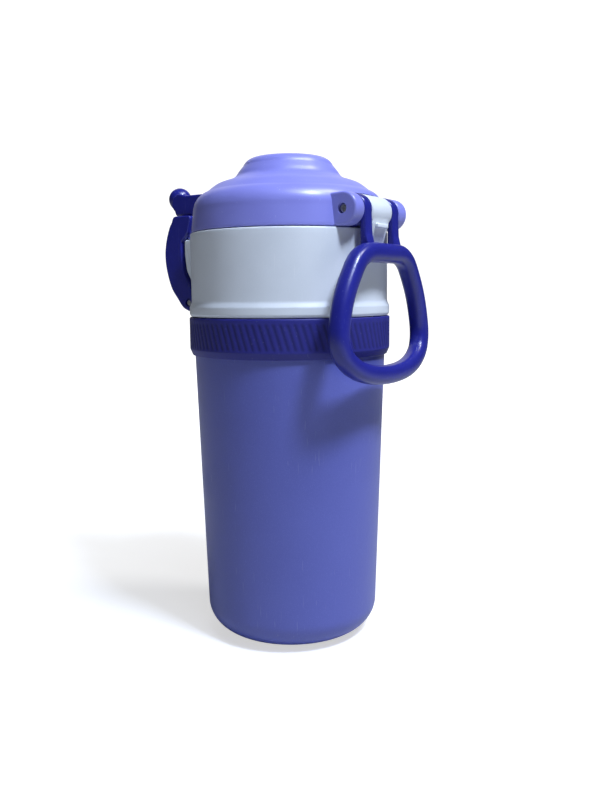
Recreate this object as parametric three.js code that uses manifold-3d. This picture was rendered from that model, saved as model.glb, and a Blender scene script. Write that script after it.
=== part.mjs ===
// Kids' flip-lid water bottle: a double-walled steel flask with a screw-on drinking collar,
// a hinged dome lid, a swinging carry loop and a latch lever.
//
// Millimetres, +Z up. The origin is the middle of the base pad, where the bottle stands.
// The hinge is on the +X side and the latch on the -X side.

import * as THREE from 'three';
import { mergeVertices } from 'three/addons/utils/BufferGeometryUtils.js';
import Module from 'manifold-3d';

const wasm = await Module();
wasm.setup();

// ---------------------------------------------------------------- driving dimensions

const gap = 0.3; // between solids that touch on the real bottle
const fineSegments = 36; // round walls that are seen
const midSegments = 24; // round pieces inside
const pinSegments = 12; // pins, holes and the straw

// flask
const bodyHeight = 110.5; // floor to the lower edge of the grip ring
const bodyRadius = 37.1; // just under the grip ring
const bodyTaper = 3.6; // radius lost between there and the base
const baseRounding = 11;
const baseLift = 0.8; // the steel stands clear of the floor by this
const steelWall = 0.6;
const vacuumGap = 2.2;
const flaskFloor = 7; // underside of the inner flask's floor
const flaskRounding = 9; // between the inner flask's floor and its wall
const shoulderRounding = 3;
const neckInset = 4.5; // the neck is this much narrower than the body
const neckHeight = 16; // shoulder to mouth
const gripHeight = 14.5;
const gripWall = 1.6;
const gripBevel = 2.4; // height of the bevel along the grip ring's lower edge
const gripLip = 0.5;
const baseRecess = 0.6; // the base cap sits this far inside the shell's lower edge
const padInset = 2; // edge of the base pad inside the base opening
const getterRadius = 5;
const getterHeight = 2.6;

// screw thread between the neck and the collar
const threadPitch = 4;
const threadHeight = 1.1;
const threadBase = 1.8; // width of a ridge at its root
const threadCrest = 0.8;
const threadClearance = 0.5;
const threadTurns = 1.5;
const threadStart = 2.6; // middle of the first turn above the shoulder
const threadSink = 0.4; // root of a ridge below the wall it stands on
const threadFade = Math.PI / 3; // each end of a ridge fades into the wall over this angle

// collar
const collarHeight = 31.3;
const collarProud = 0.9; // the collar is this much wider than the body
const beadProud = 0.9; // the bead round its lower edge
const beadHeight = 5.2;
const rimRounding = 0.7;
const rimLip = 1.8; // the rim is this much thicker than the wall below it
const ledgeThickness = 2; // ledge that presses on the neck gasket
const deckThickness = 2.4;
const deckRecess = 1.8; // deck below the collar's rim
const collarWall = 2.4;
const gasketThickness = 1.6;

// lid
const lidHeight = 28;
const lidInset = 0.8; // the lid's rim is this much narrower than the collar
const lidWall = 1.8;
const linerWall = 1.2;
const capRadius = 19.6; // the raised cap at the top of the dome, at its foot
const capHeight = 7.4;
const lidRounding = 7.8; // shoulder of the dome
const linerLift = 0.4; // liner's edge above the lid's edge
const pocketWall = 1.7; // lid wall round the hinge pocket

// hinge
const hingeInset = 2.5; // hinge axis inside the collar's outer wall
const knuckleRadius = 5.8;
const collarKnuckleHalf = 7.3; // half the width of the middle knuckle
const earThickness = 4.85; // each ear of the carry loop
const lidKnuckleWidth = 6.05;
const pinRadius = 1.5;
const pinRecess = 1.2; // pin end below the knuckle's end face

// carry loop, measured from the hinge axis
const loopThickness = 7;
const loopOut = 6.3; // the top bar stands this far out from the axis
const loopDrop = 14.9; // and this far below it
const loopLean = 0.045; // the loop leans out by this per millimetre of its drop
const loopWrap = 1.8; // and its widest part curves back round the bottle by this
const loopHeight = 43.6; // centre of the top bar to centre of the bottom bar
const loopWaist = 22.6; // half width a fifth of the way down
const loopBelly = 30.2; // half width at the widest

// latch
const latchHalfWidth = 10.8;
const latchPivotOut = 5.4; // pivot outside the collar's wall
const latchPivotUp = 5.0; // pivot above the collar's lower edge
const latchTail = 3.4; // radius of the lever's round lower end
const latchPinRadius = 1.2;
const latchLugHalf = 3.4;
const lugRadius = 3;
const bossOut = 7.4; // face of the latch boss, from the collar's wall
const tabHalfWidth = 8.5;
const tabHeight = 8.5;
const knobRadius = 4.75;
const knobOut = 18.05; // centre of the ball, from the collar's wall
const knobUp = 7.75; // centre of the ball, above the underside of its neck
const knobHalfWidth = 6.8;
const knobPegRadius = 2.2;
const knobPegRise = 4.2; // peg above the underside of the knob
const knobPegReach = 5.8; // peg's end inside the lid's rim

// drinking parts
const strawRadius = 3.5;
const strawWall = 0.9;
const strawFoot = 6; // straw tip above the flask's floor
const socketRadius = 8;
const socketDepth = 7.5; // below the deck
const flangeThickness = 1.5;
const mouthpieceRadius = 8.2; // at its foot
const mouthpieceTip = 6.2;
const mouthpieceBore = 1.9;
const sealThickness = 1.8;
const ventRadius = 2; // stem of the vent valve
const ventPlace = 20; // from the axis, towards the latch
const socketFlange = 2.4; // flange of the straw socket beyond its wall

// ---------------------------------------------------------------- places worked out from them

const gripTop = bodyHeight + gripHeight;
const shoulderZ = gripTop - 0.8;
const mouthZ = shoulderZ + neckHeight;
const neckRadius = bodyRadius - neckInset;
const threadBore = neckRadius + threadHeight + threadClearance;
const flaskMouth = neckRadius - steelWall - gap - steelWall; // the inner flask's mouth

const collarBottom = gripTop + gap;
const collarTop = collarBottom + collarHeight;
const collarRadius = bodyRadius + collarProud;
const deckTop = collarTop - deckRecess;
const deckBottom = deckTop - deckThickness;
const gasketBottom = mouthZ + gap;
const ledgeBottom = gasketBottom + gasketThickness + gap;

const lidBottom = collarTop + gap;
const lidRadius = collarRadius - lidInset;
const lidTop = lidBottom + lidHeight;

const hingeX = collarRadius - hingeInset;
const hingeZ = collarTop + gap + knuckleRadius;
const notchRadius = knuckleRadius + 0.5;
const earInner = collarKnuckleHalf + gap;
const earOuter = earInner + earThickness;
const lidKnuckleInner = earOuter + gap;
const lidKnuckleOuter = lidKnuckleInner + lidKnuckleWidth;

const latchX = -(collarRadius + latchPivotOut);
const latchZ = collarBottom + latchPivotUp;
const bossX = -(collarRadius + bossOut);
const bossTop = collarTop - 0.8;
const tabTop = lidBottom + tabHeight;
const leverTop = tabTop + 0.1;
const knobBottom = tabTop + 0.5;
const knobX = -(collarRadius + knobOut);
const knobZ = knobBottom + knobUp;

// A height on the latch, as a share of the way from the lever's pivot to its top.
const latchAt = (share) => latchZ + share * (leverTop - latchZ);

// ---------------------------------------------------------------- helpers

// A closed geometry as a solid: shared vertices are merged, collapsed triangles dropped,
// and the faces turned outwards.
function solid(geometry) {
  const flat = geometry.index ? geometry.toNonIndexed() : geometry;
  const bare = new THREE.BufferGeometry();
  bare.setAttribute('position', flat.getAttribute('position'));
  const merged = mergeVertices(bare, 1e-4);
  const corners = merged.index.array;
  const kept = [];
  for (let i = 0; i < corners.length; i += 3) {
    const [a, b, c] = [corners[i], corners[i + 1], corners[i + 2]];
    if (a !== b && b !== c && c !== a) kept.push(a, b, c);
  }
  const vertProperties = new Float32Array(merged.getAttribute('position').array);
  const build = (triVerts) =>
    new wasm.Manifold(new wasm.Mesh({ numProp: 3, vertProperties, triVerts }));
  const made = build(new Uint32Array(kept));
  return made.volume() > 0 ? made : build(new Uint32Array(kept).reverse());
}

// A solid back as a named three.js mesh.
function piece(name, body, material) {
  const { numProp, vertProperties, triVerts } = body.getMesh();
  const positions = new Float32Array((vertProperties.length / numProp) * 3);
  for (let i = 0; i < positions.length / 3; i += 1) {
    positions.set(vertProperties.subarray(i * numProp, i * numProp + 3), i * 3);
  }
  const geometry = new THREE.BufferGeometry();
  geometry.setAttribute('position', new THREE.BufferAttribute(positions, 3));
  geometry.setIndex(new THREE.BufferAttribute(new Uint32Array(triVerts), 1));
  geometry.computeVertexNormals();
  const mesh = new THREE.Mesh(geometry, material);
  mesh.name = name;
  return mesh;
}

const point = (radius, height) => new THREE.Vector2(radius, height);

// Points along an arc in the (radius, height) plane, angles in degrees from the +radius axis.
function arc(radius, height, size, from, to, steps) {
  return Array.from({ length: steps + 1 }, (_, i) => {
    const angle = THREE.MathUtils.degToRad(from + ((to - from) * i) / steps);
    return point(radius + size * Math.cos(angle), height + size * Math.sin(angle));
  });
}

// A profile turned about the Z axis. One that doesn't touch the axis is closed on itself.
function turned(profile, segments = fineSegments) {
  const onAxis = profile[0].x === 0 && profile[profile.length - 1].x === 0;
  const closed = onAxis ? profile : [...profile, profile[0].clone()];
  return solid(new THREE.LatheGeometry(closed, segments).rotateX(Math.PI / 2));
}

// An outline in the (x, z) plane, given a width along Y about the middle plane.
function slab(outline, halfWidth, rounding = 0, middle = 0) {
  const geometry = new THREE.ExtrudeGeometry(new THREE.Shape(outline), {
    depth: 2 * (halfWidth - rounding),
    steps: 1,
    curveSegments: 8,
    bevelEnabled: rounding > 0,
    bevelThickness: rounding,
    bevelSize: rounding,
    bevelOffset: -rounding,
    bevelSegments: 2,
  });
  geometry.rotateX(Math.PI / 2).translate(0, middle + halfWidth - rounding, 0);
  return solid(geometry);
}

// A round bar along Y.
function bar(x, z, radius, halfLength, middle = 0, segments = midSegments) {
  const geometry = new THREE.CylinderGeometry(radius, radius, 2 * halfLength, segments);
  return solid(geometry.translate(x, middle, z));
}

function block(x0, x1, y0, y1, z0, z1) {
  const geometry = new THREE.BoxGeometry(x1 - x0, y1 - y0, z1 - z0);
  return solid(geometry.translate((x0 + x1) / 2, (y0 + y1) / 2, (z0 + z1) / 2));
}

// The same body on both sides of the middle plane.
const bothSides = (make) => make(1).add(make(-1));

// A profile moved inwards, to its left as it runs, by a wall thickness.
function inset(profile, distance) {
  return profile.map((at, i) => {
    const before = profile[Math.max(i - 1, 0)];
    const after = profile[Math.min(i + 1, profile.length - 1)];
    const along = after.clone().sub(before).normalize();
    const moved = point(at.x - along.y * distance, at.y + along.x * distance);
    return at.x === 0 ? point(0, at.y - distance) : moved;
  });
}

// A helical ridge: a straight extrusion of its section, wrapped round the axis. A negative
// height stands inwards.
function ridge(root, height, startZ) {
  const sunk = -threadSink * Math.sign(height);
  const section = new THREE.Shape([
    point(sunk, -threadBase / 2),
    point(height, -threadCrest / 2),
    point(height, threadCrest / 2),
    point(sunk, threadBase / 2),
  ]);
  const length = threadTurns * 2 * Math.PI;
  const steps = Math.round(threadTurns * 24);
  const geometry = new THREE.ExtrudeGeometry(section, { depth: length, steps, bevelEnabled: false });
  const at = geometry.getAttribute('position');
  for (let i = 0; i < at.count; i += 1) {
    const angle = at.getZ(i);
    const fade = Math.min(1, angle / threadFade, (length - angle) / threadFade);
    const onCrest = at.getX(i) === height;
    const radius = root + (onCrest ? height * fade + (sunk / 2) * (1 - fade) : at.getX(i));
    const z = startZ + at.getY(i) + (threadPitch * angle) / (2 * Math.PI);
    at.setXYZ(i, radius * Math.cos(angle), radius * Math.sin(angle), z);
  }
  return solid(geometry);
}

// ---------------------------------------------------------------- materials

const paint = (color, roughness, metalness = 0) =>
  new THREE.MeshStandardMaterial({ color, roughness, metalness });

const lavender = paint(0x8f8fe0, 0.35);
const bodyPaint = paint(0x6a6fc4, 0.4);
const navy = paint(0x1f1f7a, 0.4);
const white = paint(0xd6dade, 0.4);
const steel = paint(0xb8babd, 0.3, 1);
const clearSilicone = paint(0xe6e9ee, 0.5);
const greySilicone = paint(0x8b8f98, 0.7);

// ---------------------------------------------------------------- flask

// Radius of the body's outer wall at a height.
const bodyRadiusAt = (z) => bodyRadius - (bodyTaper * (bodyHeight - z)) / bodyHeight;

function outerShell() {
  const cornerZ = baseLift + baseRounding;
  const footRadius = bodyRadiusAt(cornerZ);
  const centre = footRadius - baseRounding;
  const inner = baseRounding - steelWall;
  const neckIn = neckRadius - steelWall;
  const rounding = shoulderRounding;
  return turned([
    ...arc(centre, cornerZ, baseRounding, -90, 0, 5),
    point(bodyRadius, bodyHeight),
    ...arc(bodyRadius - rounding, shoulderZ - rounding, rounding, 0, 90, 3),
    point(neckRadius, shoulderZ),
    point(neckRadius, mouthZ - gap - steelWall),
    point(neckIn, mouthZ - gap - steelWall),
    point(neckIn, shoulderZ - steelWall),
    ...arc(bodyRadius - rounding, shoulderZ - rounding, rounding - steelWall, 90, 0, 3),
    point(bodyRadius - steelWall, bodyHeight),
    ...arc(centre, cornerZ, inner, 0, -90, 3),
  ]).add(ridge(neckRadius, threadHeight, shoulderZ + threadStart));
}

function innerFlask() {
  const outside = (z) => bodyRadiusAt(z) - steelWall - vacuumGap;
  const neckOut = neckRadius - steelWall - gap;
  const rounding = flaskRounding;
  const shoulder = shoulderZ - steelWall - vacuumGap;
  const top = bodyRadius - steelWall - vacuumGap;
  const turn = shoulderRounding - steelWall;
  const corner = flaskFloor + rounding;
  const centre = outside(corner) - rounding;
  const wall = steelWall;
  return turned(
    [
    point(0, flaskFloor),
    ...arc(centre, corner, rounding, -90, 0, 4),
    point(top, shoulder - turn),
    ...arc(top - turn, shoulder - turn, turn, 30, 90, 2),
    point(neckOut, shoulder),
    point(neckOut, mouthZ - wall),
    point(neckRadius, mouthZ - wall),
    point(neckRadius, mouthZ),
    point(neckOut - wall, mouthZ),
    point(neckOut - wall, shoulder - wall),
    ...arc(top - turn, shoulder - turn, turn - wall, 90, 30, 2),
    point(top - wall, shoulder - turn),
    ...arc(centre, corner, rounding - wall, 0, -90, 4),
    point(0, flaskFloor + wall),
    ],
    midSegments,
  );
}

// The base opening's radius, inside the shell's rolled edge.
const baseOpening = bodyRadiusAt(baseLift + baseRounding) - baseRounding;
const capUnder = baseLift + baseRecess;

function baseCap() {
  const radius = baseOpening - gap;
  return turned([
    point(0, capUnder),
    point(radius, capUnder),
    point(radius, capUnder + steelWall),
    point(0, capUnder + steelWall),
  ]);
}

function basePad() {
  const radius = baseOpening - padInset;
  const top = capUnder - gap;
  return turned([
    point(0, 0),
    point(radius - 0.5, 0),
    point(radius, 0.4),
    point(radius, top),
    point(0, top),
  ]);
}

function getter() {
  const under = capUnder + steelWall + gap;
  const top = under + getterHeight;
  return turned(
    [
      point(0, under),
      point(getterRadius, under),
      point(getterRadius, top - 0.6),
      point(getterRadius - 1, top),
      point(0, top),
    ],
    pinSegments,
  );
}

// ---------------------------------------------------------------- grip ring

function gripRing() {
  const inside = bodyRadius + gap;
  const outside = inside + gripWall;
  return turned([
    point(inside, bodyHeight),
    point(inside + gripLip, bodyHeight),
    point(outside, bodyHeight + gripBevel),
    point(outside, gripTop - gripLip),
    point(outside - gripLip, gripTop),
    point(inside, gripTop),
  ]);
}

// ---------------------------------------------------------------- collar

function collarBody() {
  const hollow = collarRadius - collarWall;
  const ledgeTop = ledgeBottom + ledgeThickness;
  const ledgeInner = flaskMouth;
  const beadCentre = collarRadius - rimRounding;
  const beadSize = beadProud + rimRounding;
  return turned([
    point(threadBore, collarBottom),
    point(beadCentre, collarBottom),
    ...arc(beadCentre, collarBottom + 2.1, beadSize, -75, 60, 5),
    point(collarRadius, collarBottom + beadHeight),
    point(collarRadius, collarTop - rimRounding),
    point(collarRadius - rimRounding, collarTop),
    point(hollow - rimLip + 0.4, collarTop),
    point(hollow - rimLip, collarTop - 0.4),
    point(hollow - rimLip, deckTop),
    point(socketRadius + gap, deckTop),
    point(socketRadius + gap, deckBottom),
    point(hollow, deckBottom),
    point(hollow, ledgeTop),
    point(ledgeInner, ledgeTop),
    point(ledgeInner, ledgeBottom),
    point(threadBore, ledgeBottom),
  ]).add(ridge(threadBore, -threadHeight, shoulderZ + threadStart + threadPitch / 2));
}

// The middle knuckle of the hinge on its web, with the small stop ledge in front.
function collarKnuckle() {
  const inside = hingeX - 2;
  const wall = collarRadius;
  const web = slab(
    [
      point(inside, collarTop - 8),
      point(wall + 0.3, collarTop - 8),
      point(wall + 1.4, collarTop - 2.5),
      point(hingeX + knuckleRadius - 0.6, collarTop + 1.6),
      point(hingeX + knuckleRadius - 0.3, hingeZ),
      point(inside, hingeZ),
    ],
    collarKnuckleHalf - 1.2,
  );
  const ledge = block(hingeX + 3, hingeX + 6.1, -4, 4, collarTop + 0.1, collarTop + 1.7);
  return bar(hingeX, hingeZ, knuckleRadius, collarKnuckleHalf).add(web).add(ledge);
}

// The boss that the latch lever closes over, and the lug that carries the lever's pin.
function latchBoss() {
  const wall = -(collarRadius - 1.5);
  const boss = slab(
    [
      point(wall, latchAt(0.11)),
      point(latchX + 3.4, latchAt(0.14)),
      point(bossX + 4.4, latchAt(0.2)),
      point(bossX + 1, latchAt(0.37)),
      point(bossX + 0.1, latchAt(0.57)),
      point(bossX + 0.2, bossTop),
      point(-(collarRadius + gap), bossTop),
      point(wall, bossTop),
    ],
    latchHalfWidth - 0.5,
  );
  const lug = slab(
    [
      point(wall, latchZ - lugRadius),
      point(latchX, latchZ - lugRadius),
      point(latchX, latchZ + lugRadius),
      point(wall, latchZ + lugRadius + 1.5),
    ],
    latchLugHalf,
  );
  return boss.add(lug).add(bar(latchX, latchZ, lugRadius, latchLugHalf));
}

function collar() {
  return collarBody()
    .add(collarKnuckle())
    .add(latchBoss())
    .subtract(bar(hingeX, hingeZ, pinRadius + gap, collarKnuckleHalf + 1, 0, pinSegments))
    .subtract(bar(latchX, latchZ, latchPinRadius + gap, latchLugHalf + 1, 0, pinSegments))
    .subtract(ventHole());
}

function ventHole() {
  const geometry = new THREE.CylinderGeometry(ventRadius + gap, ventRadius + gap, 8, pinSegments);
  return solid(geometry.rotateX(Math.PI / 2).translate(-ventPlace, 0, deckTop - 2));
}

function gasket() {
  const inside = flaskMouth + gap;
  const outside = neckRadius + 0.4;
  const top = gasketBottom + gasketThickness;
  return turned([
    point(inside, gasketBottom),
    point(outside, gasketBottom),
    point(outside, top),
    point(inside, top),
  ]);
}

// ---------------------------------------------------------------- drinking parts

const socketBottom = deckBottom - socketDepth;
const flangeBottom = deckTop + gap;
const flangeTop = flangeBottom + flangeThickness;
const mouthpieceBottom = flangeTop + gap;
const linerUnder = lidTop - lidWall - gap - linerWall;
const sealBottom = linerUnder - gap - sealThickness;
const mouthpieceTop = sealBottom - gap;

function strawSocket() {
  const bore = strawRadius + gap;
  const flange = socketRadius + socketFlange;
  return turned(
    [
      point(bore, socketBottom),
      point(socketRadius - 1.5, socketBottom),
      point(socketRadius, socketBottom + 1.5),
      point(socketRadius, flangeBottom),
      point(flange, flangeBottom),
      point(flange, flangeTop),
      point(mouthpieceBore, flangeTop),
      point(mouthpieceBore, deckBottom),
      point(bore, deckBottom),
    ],
    midSegments,
  );
}

function straw() {
  const foot = flaskFloor + steelWall + strawFoot;
  const top = deckBottom - gap;
  return turned(
    [
      point(strawRadius - strawWall, foot),
      point(strawRadius, foot),
      point(strawRadius, top),
      point(strawRadius - strawWall, top),
    ],
    pinSegments,
  );
}

function mouthpiece() {
  const flange = socketRadius + socketFlange - gap;
  const tip = mouthpieceTip;
  const waist = mouthpieceBottom + 0.62 * (mouthpieceTop - mouthpieceBottom);
  return turned(
    [
      point(mouthpieceBore, mouthpieceBottom),
      point(flange, mouthpieceBottom),
      point(flange, mouthpieceBottom + 1.4),
      point(mouthpieceRadius, mouthpieceBottom + 2.2),
      point(mouthpieceRadius - 2.2, waist),
      point(tip, mouthpieceTop - 3),
      ...arc(tip - 1.6, mouthpieceTop - 1.6, 1.6, 0, 90, 3),
      point(mouthpieceBore, mouthpieceTop),
    ],
    midSegments,
  );
}

function ventValve() {
  const body = turned(
    [
      point(0, deckBottom - 2.6),
      point(ventRadius + 0.2, deckBottom - 2.2),
      point(ventRadius + 1, deckBottom - gap),
      point(ventRadius, deckBottom - gap),
      point(ventRadius, deckTop + gap),
      point(ventRadius + 2, deckTop + gap),
      point(ventRadius + 1.4, deckTop + 1.2),
      point(0, deckTop + 1.5),
    ],
    pinSegments,
  );
  return body.translate(-ventPlace, 0, 0);
}

// ---------------------------------------------------------------- lid

// The dome's outline from its rim to the middle of its cap.
function lidOutline(arcSteps = 4) {
  const shoulder = lidTop - capHeight - 5.6;
  const foot = lidTop - capHeight;
  const rounding = lidRounding;
  const centreZ = shoulder - rounding * Math.sin(THREE.MathUtils.degToRad(70));
  return [
    point(lidRadius, lidBottom),
    ...arc(lidRadius - rounding - 0.5, centreZ, rounding, 0, 70, arcSteps),
    point(capRadius + 7.6, foot - 3.2),
    point(capRadius + 2.6, foot - 1.3),
    point(capRadius + 0.6, foot + 0.4),
    point(capRadius - 0.6, foot + 2.4),
    ...arc(capRadius - 6.8, lidTop - 4.6, 4.6, 14, 90, arcSteps - 1),
    point(0, lidTop),
  ];
}

// The space inside a lid outline, as a solid.
function domeSolid(offset = 0) {
  const outline = inset(lidOutline(), offset);
  return turned([point(0, outline[0].y), ...outline]);
}

function domeShell(offset, wall, bottom, arcSteps, segments) {
  const outside = inset(lidOutline(arcSteps), offset);
  const inside = inset(lidOutline(arcSteps), offset + wall);
  outside[0].y = lidBottom + bottom;
  inside[0].y = lidBottom + bottom;
  return turned([...outside.reverse(), ...inside], segments);
}

// The pocket that the collar's knuckle and the loop's ears turn in.
const hingePocket = (radius, halfWidth) =>
  bar(hingeX, hingeZ, radius, halfWidth).add(
    block(hingeX, hingeX + 9, -halfWidth, halfWidth, lidBottom - 4, hingeZ),
  );

const knobHoleEnd = lidRadius - 2 * knobPegReach; // well inside the dome

// The peg that holds the knob, or the hole for it, from the ball inwards to x = inner.
function knobPeg(radius, inner) {
  const z = knobBottom + knobPegRise;
  const outer = knobX + 2;
  const geometry = new THREE.CylinderGeometry(radius, radius, inner - outer, pinSegments);
  return solid(geometry.rotateZ(Math.PI / 2).translate((inner + outer) / 2, 0, z));
}

function lid() {
  const shell = domeShell(0, lidWall, 0, 4, fineSegments);
  const pocket = bar(hingeX, hingeZ, notchRadius + pocketWall, lidKnuckleInner + 1.5);
  const knuckles = bothSides((side) => {
    const middle = side * (lidKnuckleInner + lidKnuckleWidth / 2);
    const half = lidKnuckleWidth / 2;
    const y = [middle - half, middle + half];
    const root = block(hingeX - 7, hingeX, ...y, lidBottom, hingeZ + knuckleRadius - 0.4);
    return bar(hingeX, hingeZ, knuckleRadius, half, middle).add(root);
  });
  const tab = slab(
    [
      point(-(lidRadius - 1.2), lidBottom),
      point(-(collarRadius + 0.6), lidBottom),
      point(-(collarRadius + 0.6), bossTop + 0.4),
      point(bossX + 0.3, bossTop + 0.4),
      point(bossX + 0.6, tabTop),
      point(-(lidRadius - 2.2), tabTop),
    ],
    tabHalfWidth,
  );
  return shell
    .add(pocket.intersect(domeSolid()))
    .add(knuckles)
    .add(tab)
    .subtract(hingePocket(notchRadius, lidKnuckleInner))
    .subtract(bar(hingeX, hingeZ, pinRadius + gap, lidKnuckleOuter + 1, 0, pinSegments))
    .subtract(knobPeg(knobPegRadius + gap, -knobHoleEnd));
}

function lidLiner() {
  const shell = domeShell(lidWall + gap, linerWall, linerLift, 3, midSegments);
  const hingeRoom = bar(hingeX, hingeZ, notchRadius + pocketWall + gap, lidKnuckleOuter + gap);
  const rootRoom = block(
    hingeX - 7 - gap,
    hingeX + 3,
    -lidKnuckleOuter - gap,
    lidKnuckleOuter + gap,
    lidBottom,
    hingeZ + knuckleRadius,
  );
  return shell
    .subtract(hingeRoom)
    .subtract(rootRoom)
    .subtract(knobPeg(knobPegRadius + 1 + gap, -knobHoleEnd));
}

function spoutSeal() {
  const radius = mouthpieceTip + 2.4;
  const top = linerUnder - gap;
  return turned(
    [point(0, sealBottom), point(radius, sealBottom), point(radius, top), point(0, top)],
    midSegments,
  );
}

// ---------------------------------------------------------------- thumb knob

function thumbKnob() {
  const neck = slab(
    [
      point(-(lidRadius - 6), knobBottom),
      point(knobX + 3.6, knobBottom),
      point(knobX + 2.8, knobBottom + 1.8),
      point(knobX + 1, knobBottom + 4),
      point(knobX + 1.6, knobZ),
      point(knobX + 4.6, knobZ + 1.6),
      point(knobX + 9, knobZ + 0.8),
      point(-(lidRadius - 6), knobZ + 0.6),
    ],
    knobHalfWidth,
    1,
  );
  const ball = solid(new THREE.SphereGeometry(knobRadius, 18, 10).translate(knobX, 0, knobZ));
  const stem = knobPeg(knobPegRadius, -(lidRadius - knobPegReach));
  return neck.subtract(domeSolid(-gap)).add(ball).add(stem);
}

// ---------------------------------------------------------------- latch lever

function latchLever() {
  const inner = bossX - 0.6;
  const outline = [
    point(latchX, latchZ - latchTail),
    point(latchX - 3.2, latchZ - 1.4),
    point(latchX - 5.8, latchAt(0.045)),
    point(latchX - 9.2, latchAt(0.18)),
    point(latchX - 11.7, latchAt(0.39)),
    point(latchX - 12.3, latchAt(0.57)),
    point(latchX - 11.4, latchAt(0.73)),
    point(latchX - 9.6, latchAt(0.87)),
    point(latchX - 7.2, leverTop),
    point(-(collarRadius + 2.8), leverTop),
    point(-(collarRadius + 5), bossTop + 2.6),
    point(-(collarRadius + 6.8), bossTop + 0.5),
    point(inner - 0.3, bossTop - 0.8),
    point(inner - 0.4, latchAt(0.6)),
    point(inner + 0.2, latchAt(0.37)),
    point(inner + 3.4, latchAt(0.18)),
    point(latchX + latchTail, latchZ + 2),
    point(latchX + latchTail, latchZ),
    point(latchX + 2.4, latchZ - 2.4),
  ];
  const slotHalf = latchLugHalf + gap + 0.2;
  const slot = bar(latchX, latchZ, latchTail, slotHalf).add(
    block(latchX, latchX + 9, -slotHalf, slotHalf, latchZ - 5, latchZ + 5.6),
  );
  const tabRoom = block(inner - 0.3, 0, -tabHalfWidth - gap, tabHalfWidth + gap, bossTop - 1, leverTop + 1);
  return slab(outline, latchHalfWidth, 1)
    .subtract(slot)
    .subtract(tabRoom)
    .subtract(bar(latchX, latchZ, latchPinRadius + gap, latchHalfWidth + 1, 0, pinSegments));
}

// ---------------------------------------------------------------- carry loop

function loopSide(side) {
  const at = (y, drop) =>
    new THREE.Vector3(
      hingeX + loopOut + loopLean * drop * loopHeight - loopWrap * (y / loopBelly) ** 2,
      side * y,
      hingeZ - loopDrop - drop * loopHeight,
    );
  const route = new THREE.CatmullRomCurve3([
    at(-1, 0),
    at(0.4 * loopWaist, 0),
    at(0.58 * loopWaist, 0.012),
    at(0.74 * loopWaist, 0.048),
    at(0.86 * loopWaist, 0.1),
    at(loopWaist, 0.197),
    at(loopBelly - 4.5, 0.31),
    at(loopBelly - 2.3, 0.422),
    at(loopBelly - 0.8, 0.537),
    at(loopBelly, 0.651),
    at(loopBelly - 0.6, 0.75),
    at(loopBelly - 3.2, 0.845),
    at(loopBelly - 9.4, 0.93),
    at(loopBelly - 18.3, 0.982),
    at(-1, 1),
  ]);
  const section = new THREE.Shape().absarc(0, 0, loopThickness / 2, 0, 2 * Math.PI);
  const geometry = new THREE.ExtrudeGeometry(section, {
    steps: 26,
    curveSegments: 5,
    extrudePath: route,
  });
  return solid(geometry);
}

function carryLoop() {
  const ears = bothSides((side) => {
    const middle = side * (earInner + earThickness / 2);
    const half = earThickness / 2;
    const leg = slab(
      [
        point(collarRadius + 0.7, hingeZ - loopDrop),
        point(hingeX + loopOut + 1.4, hingeZ - loopDrop),
        point(hingeX + knuckleRadius, hingeZ - 5),
        point(hingeX + knuckleRadius, hingeZ),
        point(collarRadius + 0.7, hingeZ),
      ],
      half,
      0,
      middle,
    );
    return bar(hingeX, hingeZ, knuckleRadius, half, middle).add(leg);
  });
  return loopSide(1)
    .add(loopSide(-1))
    .add(ears)
    .subtract(bar(hingeX, hingeZ, pinRadius + gap, earOuter + 1, 0, pinSegments));
}

// ---------------------------------------------------------------- assembly

const group = new THREE.Group();

const flask = new THREE.Group();
flask.add(piece('outer_shell', outerShell(), bodyPaint));
flask.add(piece('inner_flask', innerFlask(), steel));
flask.add(piece('base_cap', baseCap(), steel));
flask.add(piece('base_pad', basePad(), greySilicone));
flask.add(piece('getter', getter(), steel));
flask.add(piece('grip_ring', gripRing(), navy));
group.add(flask);

const drinkingTop = new THREE.Group();
drinkingTop.add(piece('collar', collar(), white));
drinkingTop.add(piece('neck_gasket', gasket(), clearSilicone));
drinkingTop.add(piece('straw_socket', strawSocket(), white));
drinkingTop.add(piece('straw', straw(), clearSilicone));
drinkingTop.add(piece('mouthpiece', mouthpiece(), clearSilicone));
drinkingTop.add(piece('vent_valve', ventValve(), clearSilicone));
group.add(drinkingTop);

const flipLid = new THREE.Group();
flipLid.add(piece('lid', lid(), lavender));
flipLid.add(piece('lid_liner', lidLiner(), white));
flipLid.add(piece('spout_seal', spoutSeal(), clearSilicone));
flipLid.add(piece('thumb_knob', thumbKnob(), navy));
group.add(flipLid);

const hingePinHalf = lidKnuckleOuter - pinRecess;
const hingePin = bar(hingeX, hingeZ, pinRadius, hingePinHalf, 0, pinSegments);
const latchPin = bar(latchX, latchZ, latchPinRadius, latchHalfWidth - 0.6, 0, pinSegments);
group.add(piece('hinge_pin', hingePin, steel));
group.add(piece('carry_loop', carryLoop(), navy));
group.add(piece('latch_lever', latchLever(), navy));
group.add(piece('latch_pin', latchPin, steel));

export default group;
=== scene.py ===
# %% [markdown]
# # A kids' flip-lid bottle, piece by piece
# The bottle is a tapered steel flask with a painted shell, a ribbed grip ring, a white drinking
# collar, a lavender dome lid on a hinge, a carry loop on the same hinge and a latch lever.
# Each cell makes one piece or one finish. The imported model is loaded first, as a fixed frame:
# every piece is placed from it, rides on one of its bodies and stands for one of its nodes.

# %% The fixed frame
import math

import bmesh
import bpy
import numpy as np
from mathutils import Matrix, Vector


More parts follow.
